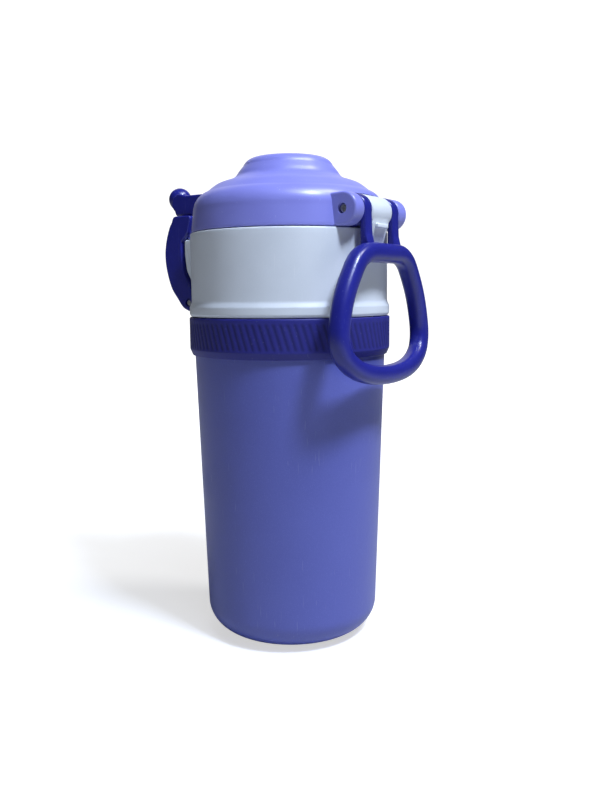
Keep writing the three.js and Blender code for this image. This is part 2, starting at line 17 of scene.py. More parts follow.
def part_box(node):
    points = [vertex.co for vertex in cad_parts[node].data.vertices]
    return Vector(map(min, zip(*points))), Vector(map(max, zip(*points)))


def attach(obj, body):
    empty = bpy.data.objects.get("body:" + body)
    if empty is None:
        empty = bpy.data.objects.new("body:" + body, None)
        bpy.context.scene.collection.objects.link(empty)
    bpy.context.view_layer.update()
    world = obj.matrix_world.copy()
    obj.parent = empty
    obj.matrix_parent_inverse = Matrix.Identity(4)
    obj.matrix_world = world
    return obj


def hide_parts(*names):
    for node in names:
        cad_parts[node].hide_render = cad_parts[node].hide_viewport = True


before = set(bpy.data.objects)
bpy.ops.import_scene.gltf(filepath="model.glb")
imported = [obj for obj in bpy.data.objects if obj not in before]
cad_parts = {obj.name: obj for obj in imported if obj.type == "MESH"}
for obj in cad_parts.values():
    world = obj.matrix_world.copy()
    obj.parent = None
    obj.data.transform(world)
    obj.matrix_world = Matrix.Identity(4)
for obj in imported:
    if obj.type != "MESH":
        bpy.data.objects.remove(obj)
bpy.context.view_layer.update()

# %% [markdown]
# The pieces are worked out in millimetres, because the sizes of a bottle read best that way,
# and turned into metres when a mesh is made. The places of the rims, the hinge and the latch
# come from the boxes of the frame's nodes, so a piece always sits where its solid is.

# %% Measures taken from the frame
MM = 0.001


def box_of(node):
    """Lowest and highest corner of a node, in millimetres."""
    low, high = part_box(node)
    return np.array(low) / MM, np.array(high) / MM


shell_low, shell_high = box_of("outer_shell")
grip_low, grip_high = box_of("grip_ring")
collar_low = box_of("collar")[0]
lid_high = box_of("lid")[1]
pin_low, pin_high = box_of("hinge_pin")
rod_low, rod_high = box_of("latch_pin")
lever_high = box_of("latch_lever")[1]
knob_low, knob_high = box_of("thumb_knob")

GAP = 0.3  # between pieces that touch
KNUCKLE_RADIUS = 5.8  # barrels of the hinge, which stand on the lid's rim
BODY_RADIUS = shell_high[0]
GRIP_BOTTOM, GRIP_TOP = grip_low[2], grip_high[2]
COLLAR_BOTTOM = collar_low[2]
HINGE_X, HINGE_Z = (pin_low[0] + pin_high[0]) / 2, (pin_low[2] + pin_high[2]) / 2
LID_BOTTOM, LID_TOP = HINGE_Z - KNUCKLE_RADIUS, lid_high[2]
COLLAR_TOP = LID_BOTTOM - GAP
LATCH_X, LATCH_Z = (rod_low[0] + rod_high[0]) / 2, (rod_low[2] + rod_high[2]) / 2
LID_RADIUS = lid_high[1]
COLLAR_RADIUS = LID_RADIUS + 0.8
print(f"hinge at {HINGE_X:.1f}, {HINGE_Z:.1f}; latch at {LATCH_X:.1f}, {LATCH_Z:.1f}; "
      f"rim {COLLAR_TOP:.1f}, top {LID_TOP:.1f}")

# %% [markdown]
# A camera is a place, a direction and a lens. This one stands a little above the rim of the
# collar, looks slightly down at the hinge side of the bottle, and is rolled by half a degree.
# The sensor's long side is the picture's height, so the lens sets the height of the view.

# %% Camera
CAMERA_PLACE = Vector((181.2, -258.7, 133.8)) * MM
CAMERA_AZIMUTH = math.radians(34.5)
CAMERA_PITCH = math.radians(7.32)
CAMERA_ROLL = -0.009
LENS, SENSOR = 36.36, 36  # in millimetres

camera_data = bpy.data.cameras.new("camera")
camera_data.lens = LENS
camera_data.sensor_width = SENSOR
camera_data.clip_start = 0.01
camera = bpy.data.objects.new("camera", camera_data)
bpy.context.scene.collection.objects.link(camera)
camera.matrix_world = (
    Matrix.Translation(CAMERA_PLACE)
    @ Matrix.Rotation(CAMERA_AZIMUTH, 4, "Z")
    @ Matrix.Rotation(math.pi / 2 - CAMERA_PITCH, 4, "X")
    @ Matrix.Rotation(CAMERA_ROLL, 4, "Z")
)
bpy.context.scene.camera = camera
bpy.context.scene.view_settings.view_transform = "Standard"
print("camera at", tuple(round(c, 3) for c in CAMERA_PLACE))

# %% [markdown]
# A small kit for surfaces comes next. Every shape here is a grid of points: rings that follow
# one another along a piece, or a profile turned about the bottle's axis. The grid is worked out
# as whole numpy arrays and handed to the mesh in one go, which is quick and keeps each shape
# a formula. Modelling by hand with extrude and loop cuts would give the same surfaces, but
# a formula can be read, checked and changed.

# %% Outlines


def arc(x, y, radius, start, end, steps=8):
    """x + radius cos a, y + radius sin a, for angles a from start to end in degrees."""
    a = np.radians(np.linspace(start, end, steps + 1))
    return np.column_stack([x + radius * np.cos(a), y + radius * np.sin(a)])


def fillet(before, at, after, radius, steps=6):
    """The corner at a point as an arc of that radius, tangent to the sides before and after it:
    its centre lies on the corner's half angle, radius / sin(half) away."""
    u, v = before - at, after - at
    room = 0.49 * min(np.linalg.norm(u), np.linalg.norm(v))
    u, v = u / np.linalg.norm(u), v / np.linalg.norm(v)
    half = 0.5 * math.acos(max(-1.0, min(1.0, float(u @ v))))
    if radius <= 0 or half > 1.55:
        return at[None]
    size = min(radius, room * math.tan(half))
    reach = size / math.tan(half)
    centre = at + (u + v) / np.linalg.norm(u + v) * size / math.sin(half)
    first, last = at + u * reach - centre, at + v * reach - centre
    start = math.atan2(first[1], first[0])
    sweep = (math.atan2(last[1], last[0]) - start + math.pi) % (2 * math.pi) - math.pi
    a = start + sweep * np.linspace(0, 1, steps + 1)
    return centre + size * np.column_stack([np.cos(a), np.sin(a)])


def rounded(corners, closed=True, steps=6):
    """An outline through (x, y, radius) corners, each one rounded by its own fillet."""
    c = np.array(corners, float)
    last = len(c) - 1
    parts = []
    for i, (x, y, radius) in enumerate(c):
        at = np.array([x, y])
        if not closed and i in (0, last):
            parts.append(at[None])
        else:
            parts.append(fillet(c[i - 1, :2], at, c[(i + 1) % (last + 1), :2], radius, steps))
    return np.vstack(parts)


def spline(points, count, closed=False):
    """A Catmull-Rom curve: between two points the curve is the cubic whose slopes are half the
    step from the point before to the point after."""
    p = np.asarray(points, float)
    n = len(p)
    t = np.linspace(0, n if closed else n - 1, count, endpoint=not closed)
    k = np.minimum(t.astype(int), n - 1 if closed else n - 2)
    f = (t - k)[:, None]
    if closed:
        a, b, c, d = (p[(k + s) % n] for s in (-1, 0, 1, 2))
    else:
        padded = np.vstack([2 * p[0] - p[1], p, 2 * p[-1] - p[-2]])
        a, b, c, d = (padded[k + s] for s in (0, 1, 2, 3))
    return 0.5 * (
        2 * b + (c - a) * f + (2 * a - 5 * b + 4 * c - d) * f**2 + (3 * b - a - 3 * c + d) * f**3
    )


def inward(outline, distance):
    """A closed outline moved towards its inside: each point goes along the normal of the line
    between its two neighbours."""
    along = np.roll(outline, -1, 0) - np.roll(outline, 1, 0)
    along /= np.maximum(np.linalg.norm(along, axis=1, keepdims=True), 1e-9)
    x, y = outline.T
    area = 0.5 * np.sum(x * np.roll(y, -1) - np.roll(x, -1) * y)
    return outline + math.copysign(distance, area) * np.column_stack([-along[:, 1], along[:, 0]])


print("a quarter circle:", arc(0, 0, 1, 0, 90, 2).round(2).tolist())

# %% Meshes from grids
SHARP = math.radians(38)  # an edge that turns more than this is drawn as an edge


def make(name, points, faces):
    """A closed mesh object from points in millimetres, its faces turned outwards by the sign of
    its volume, smooth except at edges sharper than SHARP."""
    mesh = bpy.data.meshes.new(name)
    mesh.from_pydata((np.asarray(points) * MM).tolist(), [], faces)
    work = bmesh.new()
    work.from_mesh(mesh)
    if work.calc_volume(signed=True) < 0:
        bmesh.ops.reverse_faces(work, faces=work.faces)
    work.to_mesh(mesh)
    work.free()
    mesh.shade_smooth()
    mesh.set_sharp_from_angle(angle=SHARP)
    piece = bpy.data.objects.new(name, mesh)
    bpy.context.scene.collection.objects.link(piece)
    return piece


def skin(name, rings, ends="flat", poles=()):
    """A surface over rings[i, j]: i along the piece, j round it. Its ends are flat faces, or
    meet at two poles, or join each other in a loop."""
    m, n = rings.shape[:2]
    i = np.arange(m if ends == "loop" else m - 1)[:, None]
    j = np.arange(n)[None]
    after, beside = (i + 1) % m * n, (j + 1) % n
    quads = np.stack([i * n + j, i * n + beside, after + beside, after + j], -1)
    faces = quads.reshape(-1, 4).tolist()
    points = rings.reshape(-1, 3)
    if ends == "flat":
        faces += [list(range(n))[::-1], list(range((m - 1) * n, m * n))]
    if ends == "poles":
        points = np.vstack([points, poles])
        j = np.arange(n)
        last = (m - 1) * n
        first_fan = np.column_stack([np.full(n, m * n), (j + 1) % n, j])
        last_fan = np.column_stack([np.full(n, m * n + 1), last + j, last + (j + 1) % n])
        faces += first_fan.tolist() + last_fan.tolist()
    return make(name, points, faces)


def turned(name, profile, count=160, middle=0.0, swell=None):
    """x = (r + s) cos a, y = (r + s) sin a, z = h, for each (r, h) of the profile and each angle
    a, where s is the swell at that angle and height. A profile that starts and ends on the axis
    closes at two poles, and any other closes on itself."""
    profile = np.asarray(profile, float)
    on_axis = profile[0, 0] == 0 and profile[-1, 0] == 0
    r, h = (profile[1:-1] if on_axis else profile).T
    a = np.arange(count) * 2 * math.pi / count
    radius = r[:, None] + (0 if swell is None else swell(a[None], r[:, None], h[:, None]))
    radius = np.broadcast_to(radius, (len(r), count))
    height = np.broadcast_to(h[:, None], radius.shape)
    rings = np.stack([middle + radius * np.cos(a), radius * np.sin(a), height], -1)
    if on_axis:
        poles = [[middle, 0, profile[0, 1]], [middle, 0, profile[-1, 1]]]
        return skin(name, rings, "poles", poles)
    return skin(name, rings, "loop")


def slab(name, outline, half, middle=0.0, edge=0.8, steps=4):
    """An (x, z) outline given a width along Y. Towards each side it shrinks by
    edge (1 - cos t) while y grows by edge sin t, so its edges are quarter rounds."""
    t = np.linspace(0, math.pi / 2, steps + 1) if edge > 0 else np.zeros(1)
    across = half - edge + edge * np.sin(t)
    shrink = edge * (1 - np.cos(t))
    if edge > 0:  # one more ring inside each flat side keeps the side's shading flat
        across, shrink = np.append(across, half), np.append(shrink, edge + 0.2)
    places = np.concatenate([-across[::-1], across])
    shrinks = np.concatenate([shrink[::-1], shrink])
    rings = []
    for y, distance in zip(places, shrinks):
        x, z = inward(outline, distance).T if distance > 0 else outline.T
        rings.append(np.stack([x, np.full_like(x, middle + y), z], -1))
    return skin(name, np.array(rings))


def bar(name, x, z, radius, half, middle=0.0, edge=0.5, count=64):
    """A round bar along Y: a slab whose outline is a circle."""
    circle = arc(x, z, radius, 0, 360, count)[:-1]
    return slab(name, circle, half, middle, edge)


def tube(name, path, across, up, radii, count=32, ends="loop"):
    """A section carried along a path: point + radius (across cos t + up sin t), where across and
    up stand square to the path at each point."""
    t = np.arange(count) * 2 * math.pi / count
    wide, high = radii
    rings = (
        path[:, None]
        + wide * np.cos(t)[None, :, None] * across[:, None]
        + high * np.sin(t)[None, :, None] * up[:, None]
    )
    return skin(name, rings, ends)


def block(name, x0, x1, half, z0, z1, middle=0.0, edge=0.0, corner=0.0):
    """A box from x0 to x1 and z0 to z1, half a width to each side of the middle."""
    r = corner
    outline = rounded([(x0, z0, r), (x1, z0, r), (x1, z1, r), (x0, z1, r)])
    return slab(name, outline, half, middle, edge)


print("the surface kit is ready")

# %% [markdown]
# Two pieces of plastic that were moulded as one are joined with a boolean, and a bore is cut
# with one. The tool is used up, and the result is written back as a plain mesh, so nothing
# is left live on the piece.

# %% Joining and cutting
SOLVER = "MANIFOLD"  # quick and exact on closed meshes, which all of these are


def applied(piece):
    """The piece with its modifiers worked into its mesh, and the sharp edges marked again."""
    graph = bpy.context.evaluated_depsgraph_get()
    mesh = bpy.data.meshes.new_from_object(piece.evaluated_get(graph))
    piece.modifiers.clear()
    old, piece.data = piece.data, mesh
    bpy.data.meshes.remove(old)
    mesh.name = piece.name
    mesh.shade_smooth()
    mesh.set_sharp_from_angle(angle=SHARP)
    return piece


def work_on(piece, operation, tools):
    """Applies one boolean for each tool, and removes the tools."""
    for tool in tools:
        change = piece.modifiers.new(operation.lower(), "BOOLEAN")
        change.operation = operation
        change.solver = SOLVER
        change.object = tool
    applied(piece)
    for tool in tools:
        bpy.data.objects.remove(tool)
    return piece


def join(piece, *tools):
    """The piece and the tools as one skin."""
    return work_on(piece, "UNION", tools)


def cut(piece, *tools):
    """The piece without the space of the tools."""
    return work_on(piece, "DIFFERENCE", tools)


def keep_inside(piece, tool):
    """The part of the piece that lies inside the tool."""
    return work_on(piece, "INTERSECT", [tool])


def fit(piece, body, slot, material, *nodes):
    """Gives a finished piece its material and its body, and hides the nodes it stands for. The
    slot is not used.
    """
    piece.data.materials.clear()
    piece.data.materials.append(material)
    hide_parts(*nodes)
    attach(piece, body)
    piece.data.calc_loop_triangles()
    print(f"{piece.name}: {len(piece.data.loop_triangles)} triangles on {body}")
    return piece


print("booleans use the solver", SOLVER)

# %% [markdown]
# The finishes come before the pieces. A moulded plastic is never one flat colour: the tool's
# surface leaves a fine grain, the wall cools unevenly and hands leave faint smudges. Two groups
# give those effects to every material, each with its own values. A group puts out only masks
# and values that vary, and the shader stays in the material.

# %% Node helpers


def new_group(name, inputs, outputs):
    """A shader node group with named float inputs (name, default) and named outputs."""
    group = bpy.data.node_groups.new(name, "ShaderNodeTree")
    for label, default in inputs:
        socket = group.interface.new_socket(label, in_out="INPUT", socket_type="NodeSocketFloat")
        socket.default_value = default
    for label in outputs:
        group.interface.new_socket(label, in_out="OUTPUT", socket_type="NodeSocketFloat")
    return group, group.nodes.new("NodeGroupInput"), group.nodes.new("NodeGroupOutput")


def math_node(tree, operation, first, second, third=None, clamp=False):
    """A Math node whose inputs are numbers or the sockets of other nodes."""
    node = tree.nodes.new("ShaderNodeMath")
    node.operation = operation
    node.use_clamp = clamp
    for socket, value in zip(node.inputs, (first, second, third)):
        if isinstance(value, bpy.types.NodeSocket):
            tree.links.new(value, socket)
        elif value is not None:
            socket.default_value = value
    return node.outputs[0]


def noise(tree, vector, scale, detail=3.0, roughness=0.5):
    """A Noise Texture's value from 0 to 1; the scale is a number or another node's socket."""
    node = tree.nodes.new("ShaderNodeTexNoise")
    node.inputs["Detail"].default_value = detail
    node.inputs["Roughness"].default_value = roughness
    tree.links.new(vector, node.inputs["Vector"])
    if isinstance(scale, bpy.types.NodeSocket):
        tree.links.new(scale, node.inputs["Scale"])
    else:
        node.inputs["Scale"].default_value = scale
    return node.outputs["Fac"]


def spread(tree, value, low, high, out_low=0.0, out_high=1.0):
    """Stretches a value from low..high to the given range, and stops it there."""
    node = tree.nodes.new("ShaderNodeMapRange")
    node.interpolation_type = "SMOOTHSTEP"
    tree.links.new(value, node.inputs["Value"])
    for label, number in (
        ("From Min", low), ("From Max", high), ("To Min", out_low), ("To Max", out_high)
    ):
        node.inputs[label].default_value = number
    return node.outputs["Result"]


def place_of(tree):
    """The place on the piece in metres, which stays with the piece when a joint moves it."""
    return tree.nodes.new("ShaderNodeTexCoord").outputs["Object"]


print("node helpers are ready")

# %% Group: mould grain
# Height is a fine grain over a soft waviness; Gloss swings about 0 with the grain and a
# larger cloud, to be added to a roughness.
grain, grain_in, grain_out = new_group(
    "mould_grain", [("Grain Size", 2200.0), ("Wave Size", 90.0), ("Gloss Swing", 0.06)],
    ["Height", "Gloss"],
)
fine = noise(grain, place_of(grain), grain_in.outputs["Grain Size"], 2.0)
wave = noise(grain, place_of(grain), grain_in.outputs["Wave Size"], 2.0, 0.4)
grain_height = math_node(grain, "MULTIPLY_ADD", fine, 0.35, wave)
grain.links.new(grain_height, grain_out.inputs["Height"])
gloss = math_node(grain, "SUBTRACT", math_node(grain, "ADD", fine, wave), 1.0)
gloss = math_node(grain, "MULTIPLY", gloss, grain_in.outputs["Gloss Swing"])
grain.links.new(gloss, grain_out.inputs["Gloss"])
print("mould grain:", len(grain.nodes), "nodes")

# %% Group: handling marks
# Smudge is where hands have been: soft clouds, seldom, and stronger in the middle of a cloud.
# Speck is fine dust. Scuff is short hair-thin scratches, from noise stretched along one way.
marks, marks_in, marks_out = new_group(
    "handling_marks", [("Smudge Size", 38.0), ("Amount", 1.0)], ["Smudge", "Speck", "Scuff"]
)
cloud = noise(marks, place_of(marks), marks_in.outputs["Smudge Size"], 4.0, 0.6)
smudge = math_node(marks, "MULTIPLY", spread(marks, cloud, 0.52, 0.72), marks_in.outputs["Amount"])
marks.links.new(smudge, marks_out.inputs["Smudge"])
dust = spread(marks, noise(marks, place_of(marks), 1500.0, 1.0), 0.70, 0.78)
speck = math_node(marks, "MULTIPLY", dust, marks_in.outputs["Amount"])
marks.links.new(speck, marks_out.inputs["Speck"])
stretch = marks.nodes.new("ShaderNodeMapping")
stretch.inputs["Rotation"].default_value = (0.5, 0.3, 0.4)
stretch.inputs["Scale"].default_value = (1.0, 1.0, 0.04)
marks.links.new(place_of(marks), stretch.inputs["Vector"])
hair = spread(marks, noise(marks, stretch.outputs["Vector"], 1900.0, 1.0), 0.71, 0.76)
hair = math_node(marks, "MULTIPLY", hair, spread(marks, cloud, 0.45, 0.6))
scuff = math_node(marks, "MULTIPLY", hair, marks_in.outputs["Amount"])
marks.links.new(scuff, marks_out.inputs["Scuff"])
print("groups:", [g.name for g in bpy.data.node_groups])

# %% [markdown]
# One function builds a moulded finish from those groups. The colour drifts a little between
# two close tones with the waviness, turns paler where it is scuffed or dusty, and the roughness
# rises under a smudge. What is the same all over, such as the coat or the IOR, is set straight on
# the shader.

# %% Moulded plastics


def mix_colour(tree, mask, first, second):
    """The first colour where the mask is 0 and the second where it is 1."""
    node = tree.nodes.new("ShaderNodeMix")
    node.data_type = "RGBA"
    tree.links.new(mask, node.inputs["Factor"])
    for label, colour in (("A", first), ("B", second)):
        socket = [s for s in node.inputs if s.name == label and s.type == "RGBA"][0]
        if isinstance(colour, bpy.types.NodeSocket):
            tree.links.new(colour, socket)
        else:
            socket.default_value = (*colour, 1)
    return [s for s in node.outputs if s.type == "RGBA"][0]


def place_group(tree, group, **values):
    """A group placed in a material, with its own values: Grain_Size sets Grain Size."""
    node = tree.nodes.new("ShaderNodeGroup")
    node.node_tree = group
    for label, value in values.items():
        node.inputs[label.replace("_", " ")].default_value = value
    return node


def blank_material(name):
    """A material with its Principled shader, and that shader."""
    material = bpy.data.materials.new(name + "_finish")
    material.use_nodes = True
    return material, material.node_tree, material.node_tree.nodes["Principled BSDF"]


def bump(tree, height, distance, strength=1.0):
    """A normal tilted by a height, where a height of 1 stands for the distance in metres."""
    node = tree.nodes.new("ShaderNodeBump")
    node.inputs["Strength"].default_value = strength
    node.inputs["Distance"].default_value = distance
    tree.links.new(height, node.inputs["Height"])
    return node.outputs["Normal"]


def moulded(name, colour, drift, pale, roughness, grain_size=2200.0, depth=0.00002,
            swing=0.06, wear=1.0, settings=()):
    """A moulded finish. The colour goes from colour to drift with the waviness and to pale at
    scuffs and specks; settings are (socket, value) pairs that hold all over."""
    material, tree, shader = blank_material(name)
    skin_grain = place_group(tree, grain, Grain_Size=grain_size, Gloss_Swing=swing)
    handled = place_group(tree, marks, Amount=wear)
    tone = mix_colour(tree, spread(tree, skin_grain.outputs["Height"], 0.45, 0.95), colour, drift)
    worn = math_node(tree, "MAXIMUM", handled.outputs["Scuff"], handled.outputs["Speck"])
    worn = math_node(tree, "MULTIPLY", worn, 0.5)
    tree.links.new(mix_colour(tree, worn, tone, pale), shader.inputs["Base Color"])
    rough = math_node(tree, "ADD", skin_grain.outputs["Gloss"], roughness)
    rough = math_node(tree, "MULTIPLY_ADD", handled.outputs["Smudge"], 0.09, rough, clamp=True)
    tree.links.new(rough, shader.inputs["Roughness"])
    tree.links.new(bump(tree, skin_grain.outputs["Height"], depth), shader.inputs["Normal"])
    for label, value in settings:
        shader.inputs[label].default_value = value
    return material


lavender_plastic = moulded(
    "lavender_plastic", (0.240, 0.246, 0.680), (0.254, 0.262, 0.705), (0.42, 0.44, 0.80), 0.34,
    depth=0.000012,
    settings=[("Coat Weight", 0.12), ("Coat Roughness", 0.25), ("IOR", 1.49)],
)
navy_plastic = moulded(
    "navy_plastic", (0.015, 0.018, 0.225), (0.018, 0.021, 0.245), (0.10, 0.11, 0.34), 0.30,
    depth=0.000008,
    settings=[("Coat Weight", 0.15), ("Coat Roughness", 0.18), ("IOR", 1.49)],
)
white_plastic = moulded(
    "white_plastic", (0.72, 0.76, 0.80), (0.75, 0.79, 0.83), (0.86, 0.88, 0.90), 0.42,
    wear=0.7, settings=[("Coat Weight", 0.08), ("Coat Roughness", 0.3), ("IOR", 1.49)],
)
liner_plastic = moulded(
    "liner_plastic", (0.78, 0.80, 0.82), (0.82, 0.84, 0.86), (0.9, 0.9, 0.9), 0.38,
    wear=0.4, settings=[("IOR", 1.49), ("Transmission Weight", 0.18)],
)
grey_silicone = moulded(
    "grey_silicone", (0.20, 0.21, 0.24), (0.24, 0.25, 0.28), (0.42, 0.42, 0.44), 0.72,
    grain_size=1500.0, depth=0.00004, settings=[("IOR", 1.41)],
)
clear_silicone = moulded(
    "clear_silicone", (0.86, 0.89, 0.92), (0.90, 0.92, 0.94), (0.95, 0.95, 0.95), 0.34,
    wear=0.5, settings=[("IOR", 1.41), ("Transmission Weight", 0.55)],
)
straw_plastic = moulded(
    "straw_plastic", (0.88, 0.90, 0.93), (0.92, 0.93, 0.95), (0.95, 0.95, 0.95), 0.22,
    wear=0.4, settings=[("IOR", 1.46), ("Transmission Weight", 0.7)],
)
print("moulded finishes:", [m.name for m in bpy.data.materials])

# %% [markdown]
# The grip ring is silicone. The piece carries an attribute, worked out with its shape, that is 1
# on a rib's crest and 0 in a groove. The material reads it: crests are a little shinier, and the
# colour is painted darker in the grooves and paler on the crests, as painted shade between the
# ribs.

# %% Ribbed silicone


def ribbed_silicone():
    """Navy silicone whose roughness and painted shade follow the attribute of crests and grooves.
    """
    material, tree, shader = blank_material("navy_silicone")
    skin_grain = place_group(tree, grain, Grain_Size=1700.0, Gloss_Swing=0.05)
    handled = place_group(tree, marks, Amount=1.0)
    crest = tree.nodes.new("ShaderNodeAttribute")
    crest.attribute_name = "crest"
    # painted shade: a darker colour in the grooves and a paler one on the crests
    shade = mix_colour(tree, crest.outputs["Fac"], (0.010, 0.011, 0.120), (0.021, 0.022, 0.215))
    dusty = math_node(tree, "MULTIPLY", handled.outputs["Speck"], 0.4)
    tree.links.new(mix_colour(tree, dusty, shade, (0.14, 0.14, 0.3)), shader.inputs["Base Color"])
    rough = math_node(tree, "MULTIPLY_ADD", crest.outputs["Fac"], -0.12, 0.62)
    rough = math_node(tree, "ADD", rough, skin_grain.outputs["Gloss"], clamp=True)
    tree.links.new(rough, shader.inputs["Roughness"])
    normal = bump(tree, skin_grain.outputs["Height"], 0.00003)
    tree.links.new(normal, shader.inputs["Normal"])
    shader.inputs["IOR"].default_value = 1.43
    return material


navy_silicone = ribbed_silicone()
print(navy_silicone.name, "has", len(navy_silicone.node_tree.nodes), "nodes")

# %% [markdown]
# The shell is sprayed: a satin coat over brushed steel. Sprayed paint has orange peel, which is
# a soft dimpling about a millimetre across, and a very fine pigment sparkle. Both come from
# noise in the object's own space, and the bottom edge, where the bottle is set down, is scuffed.

# %% Satin paint
SCUFF_TOP, SCUFF_FULL = 0.012, 0.001  # heights where the scuffs of the foot end and are densest


def satin_paint():
    """Sprayed paint with orange peel and pigment, scuffed at the foot."""
    material, tree, shader = blank_material("body_paint")
    place = place_of(tree)
    peel = noise(tree, place, 750.0, 2.0, 0.35)
    pigment = noise(tree, place, 5200.0, 0.0)
    cloud = noise(tree, place, 22.0, 3.0)
    handled = place_group(tree, marks, Smudge_Size=30.0, Amount=1.0)
    tone = mix_colour(
        tree, spread(tree, cloud, 0.3, 0.7), (0.098, 0.114, 0.420), (0.108, 0.126, 0.450)
    )
    tone = mix_colour(tree, spread(tree, pigment, 0.62, 0.75, 0.0, 0.35), tone, (0.17, 0.20, 0.60))
    split = tree.nodes.new("ShaderNodeSeparateXYZ")
    tree.links.new(place, split.inputs["Vector"])
    low_edge = spread(tree, split.outputs["Z"], SCUFF_TOP, SCUFF_FULL)
    chips = spread(tree, noise(tree, place, 520.0, 5.0, 0.7), 0.62, 0.70)
    scuffed = math_node(tree, "MULTIPLY", low_edge, chips)
    scuffed = math_node(tree, "MULTIPLY", scuffed, 0.6)
    hair = math_node(tree, "MULTIPLY", handled.outputs["Scuff"], 0.25)
    worn = math_node(tree, "MAXIMUM", scuffed, hair)
    tree.links.new(mix_colour(tree, worn, tone, (0.42, 0.43, 0.62)), shader.inputs["Base Color"])
    rough = math_node(tree, "MULTIPLY_ADD", handled.outputs["Smudge"], 0.10, 0.40)
    rough = math_node(tree, "MULTIPLY_ADD", peel, 0.05, rough)
    rough = math_node(tree, "MULTIPLY_ADD", worn, 0.15, rough, clamp=True)
    tree.links.new(rough, shader.inputs["Roughness"])
    tree.links.new(bump(tree, peel, 0.00003, 0.8), shader.inputs["Normal"])
    shader.inputs["Coat Weight"].default_value = 0.18
    shader.inputs["Coat Roughness"].default_value = 0.30
    shader.inputs["IOR"].default_value = 1.5
    return material


body_paint = satin_paint()
print(body_paint.name, "has", len(body_paint.node_tree.nodes), "nodes")

# %% [markdown]
# Steel that was spun on a lathe shows fine rings, and steel that was drawn shows fine lines.
# A noise stretched round the axis gives the rings: it is read at the distance from the axis and
# the height, with hardly any change round it.

# %% Spun steel


def spun_steel():
    """Bare steel with fine rings in its tone, roughness and relief."""
    material, tree, shader = blank_material("steel")
    place = place_of(tree)
    split = tree.nodes.new("ShaderNodeSeparateXYZ")
    tree.links.new(place, split.inputs["Vector"])
    flat = tree.nodes.new("ShaderNodeCombineXYZ")
    tree.links.new(split.outputs["X"], flat.inputs["X"])
    tree.links.new(split.outputs["Y"], flat.inputs["Y"])
    length = tree.nodes.new("ShaderNodeVectorMath")
    length.operation = "LENGTH"
    tree.links.new(flat.outputs["Vector"], length.inputs[0])
    ring = tree.nodes.new("ShaderNodeCombineXYZ")
    tree.links.new(length.outputs["Value"], ring.inputs["X"])
    tree.links.new(split.outputs["Z"], ring.inputs["Z"])
    lines = noise(tree, ring.outputs["Vector"], 4200.0, 3.0, 0.7)
    handled = place_group(tree, marks, Smudge_Size=60.0, Amount=1.0)
    tone = mix_colour(tree, lines, (0.50, 0.51, 0.53), (0.66, 0.67, 0.69))
    tree.links.new(tone, shader.inputs["Base Color"])
    rough = spread(tree, lines, 0.25, 0.75, 0.22, 0.36)
    rough = math_node(tree, "MULTIPLY_ADD", handled.outputs["Smudge"], 0.12, rough, clamp=True)
    tree.links.new(rough, shader.inputs["Roughness"])
    tree.links.new(bump(tree, lines, 0.00001, 0.6), shader.inputs["Normal"])
    shader.inputs["Metallic"].default_value = 1.0
    return material


steel = spun_steel()
print("finishes:", [m.name for m in bpy.data.materials])

# %% [markdown]
# A straight side of a profile gets extra rings. A vertex normal is the mean of the faces round
# it, so without them the shading of a rounded edge would leak along the whole wall next to it.

# %% Profiles of one wall


def dense(outline, step, closed=True):
    """The same outline with points added, so that no side is longer than the step."""
    starts = outline if closed else outline[:-1]
    ends = np.roll(outline, -1, 0) if closed else outline[1:]
    counts = np.maximum(1, np.ceil(np.linalg.norm(ends - starts, axis=1) / step).astype(int))
    parts = [s + (e - s) * (np.arange(n) / n)[:, None] for s, e, n in zip(starts, ends, counts)]
    return np.vstack(parts if closed else parts + [outline[-1:]])


def beside(line, distance):
    """An open outline moved to its left as it runs; a point on the axis stays on the axis."""
    along = np.gradient(line, axis=0)
    along /= np.linalg.norm(along, axis=1, keepdims=True)
    moved = line + distance * np.column_stack([-along[:, 1], along[:, 0]])
    moved[line[:, 0] == 0, 0] = 0
    return moved


print("a side of 10 in steps of 3:", len(dense(np.array([[0.0, 0], [10, 0]]), 3, False)), "points")

# %% [markdown]
# The neck and the collar meet in a screw thread. A thread could be modelled as a separate helix
# and joined on, but it is only a ripple of the wall: at every angle and height the distance to
# the ridge's middle line says how far the wall swells. That keeps neck and thread one clean grid.

# %% Screw thread
THREAD_PITCH = 4.0
THREAD_HEIGHT = 1.1
THREAD_BASE, THREAD_CREST = 1.8, 0.8
THREAD_TURNS = 1.5
THREAD_FADE = math.pi / 3
SHOULDER_Z = GRIP_TOP - 0.8
THREAD_START = SHOULDER_Z + 2.6
NECK_RADIUS = BODY_RADIUS - 4.5
THREAD_BORE = NECK_RADIUS + THREAD_HEIGHT + 0.5


def thread(angle, height, start):
    """0 on the wall and 1 on the ridge: a trapezoid across the ridge's middle line, which rises
    one pitch a turn, times a fade at both ends of the ridge."""
    ridge = 0
    for lap in range(math.ceil(THREAD_TURNS)):
        along = angle + 2 * math.pi * lap
        away = np.abs(height - start - THREAD_PITCH * along / (2 * math.pi))
        flank = (THREAD_BASE / 2 - away) / ((THREAD_BASE - THREAD_CREST) / 2)
        ends = np.minimum(along, THREAD_TURNS * 2 * math.pi - along) / THREAD_FADE
        ridge = np.maximum(ridge, np.clip(flank, 0, 1) * np.clip(ends, 0, 1))
    return ridge


print(f"thread: {THREAD_TURNS} turns with a pitch of {THREAD_PITCH}")

# %% [markdown]
# The outer shell is one drawn sheet: a rounded foot rolled in round the base opening, a straight
# taper, a rounded shoulder under the grip ring, and the neck with its rolled thread.

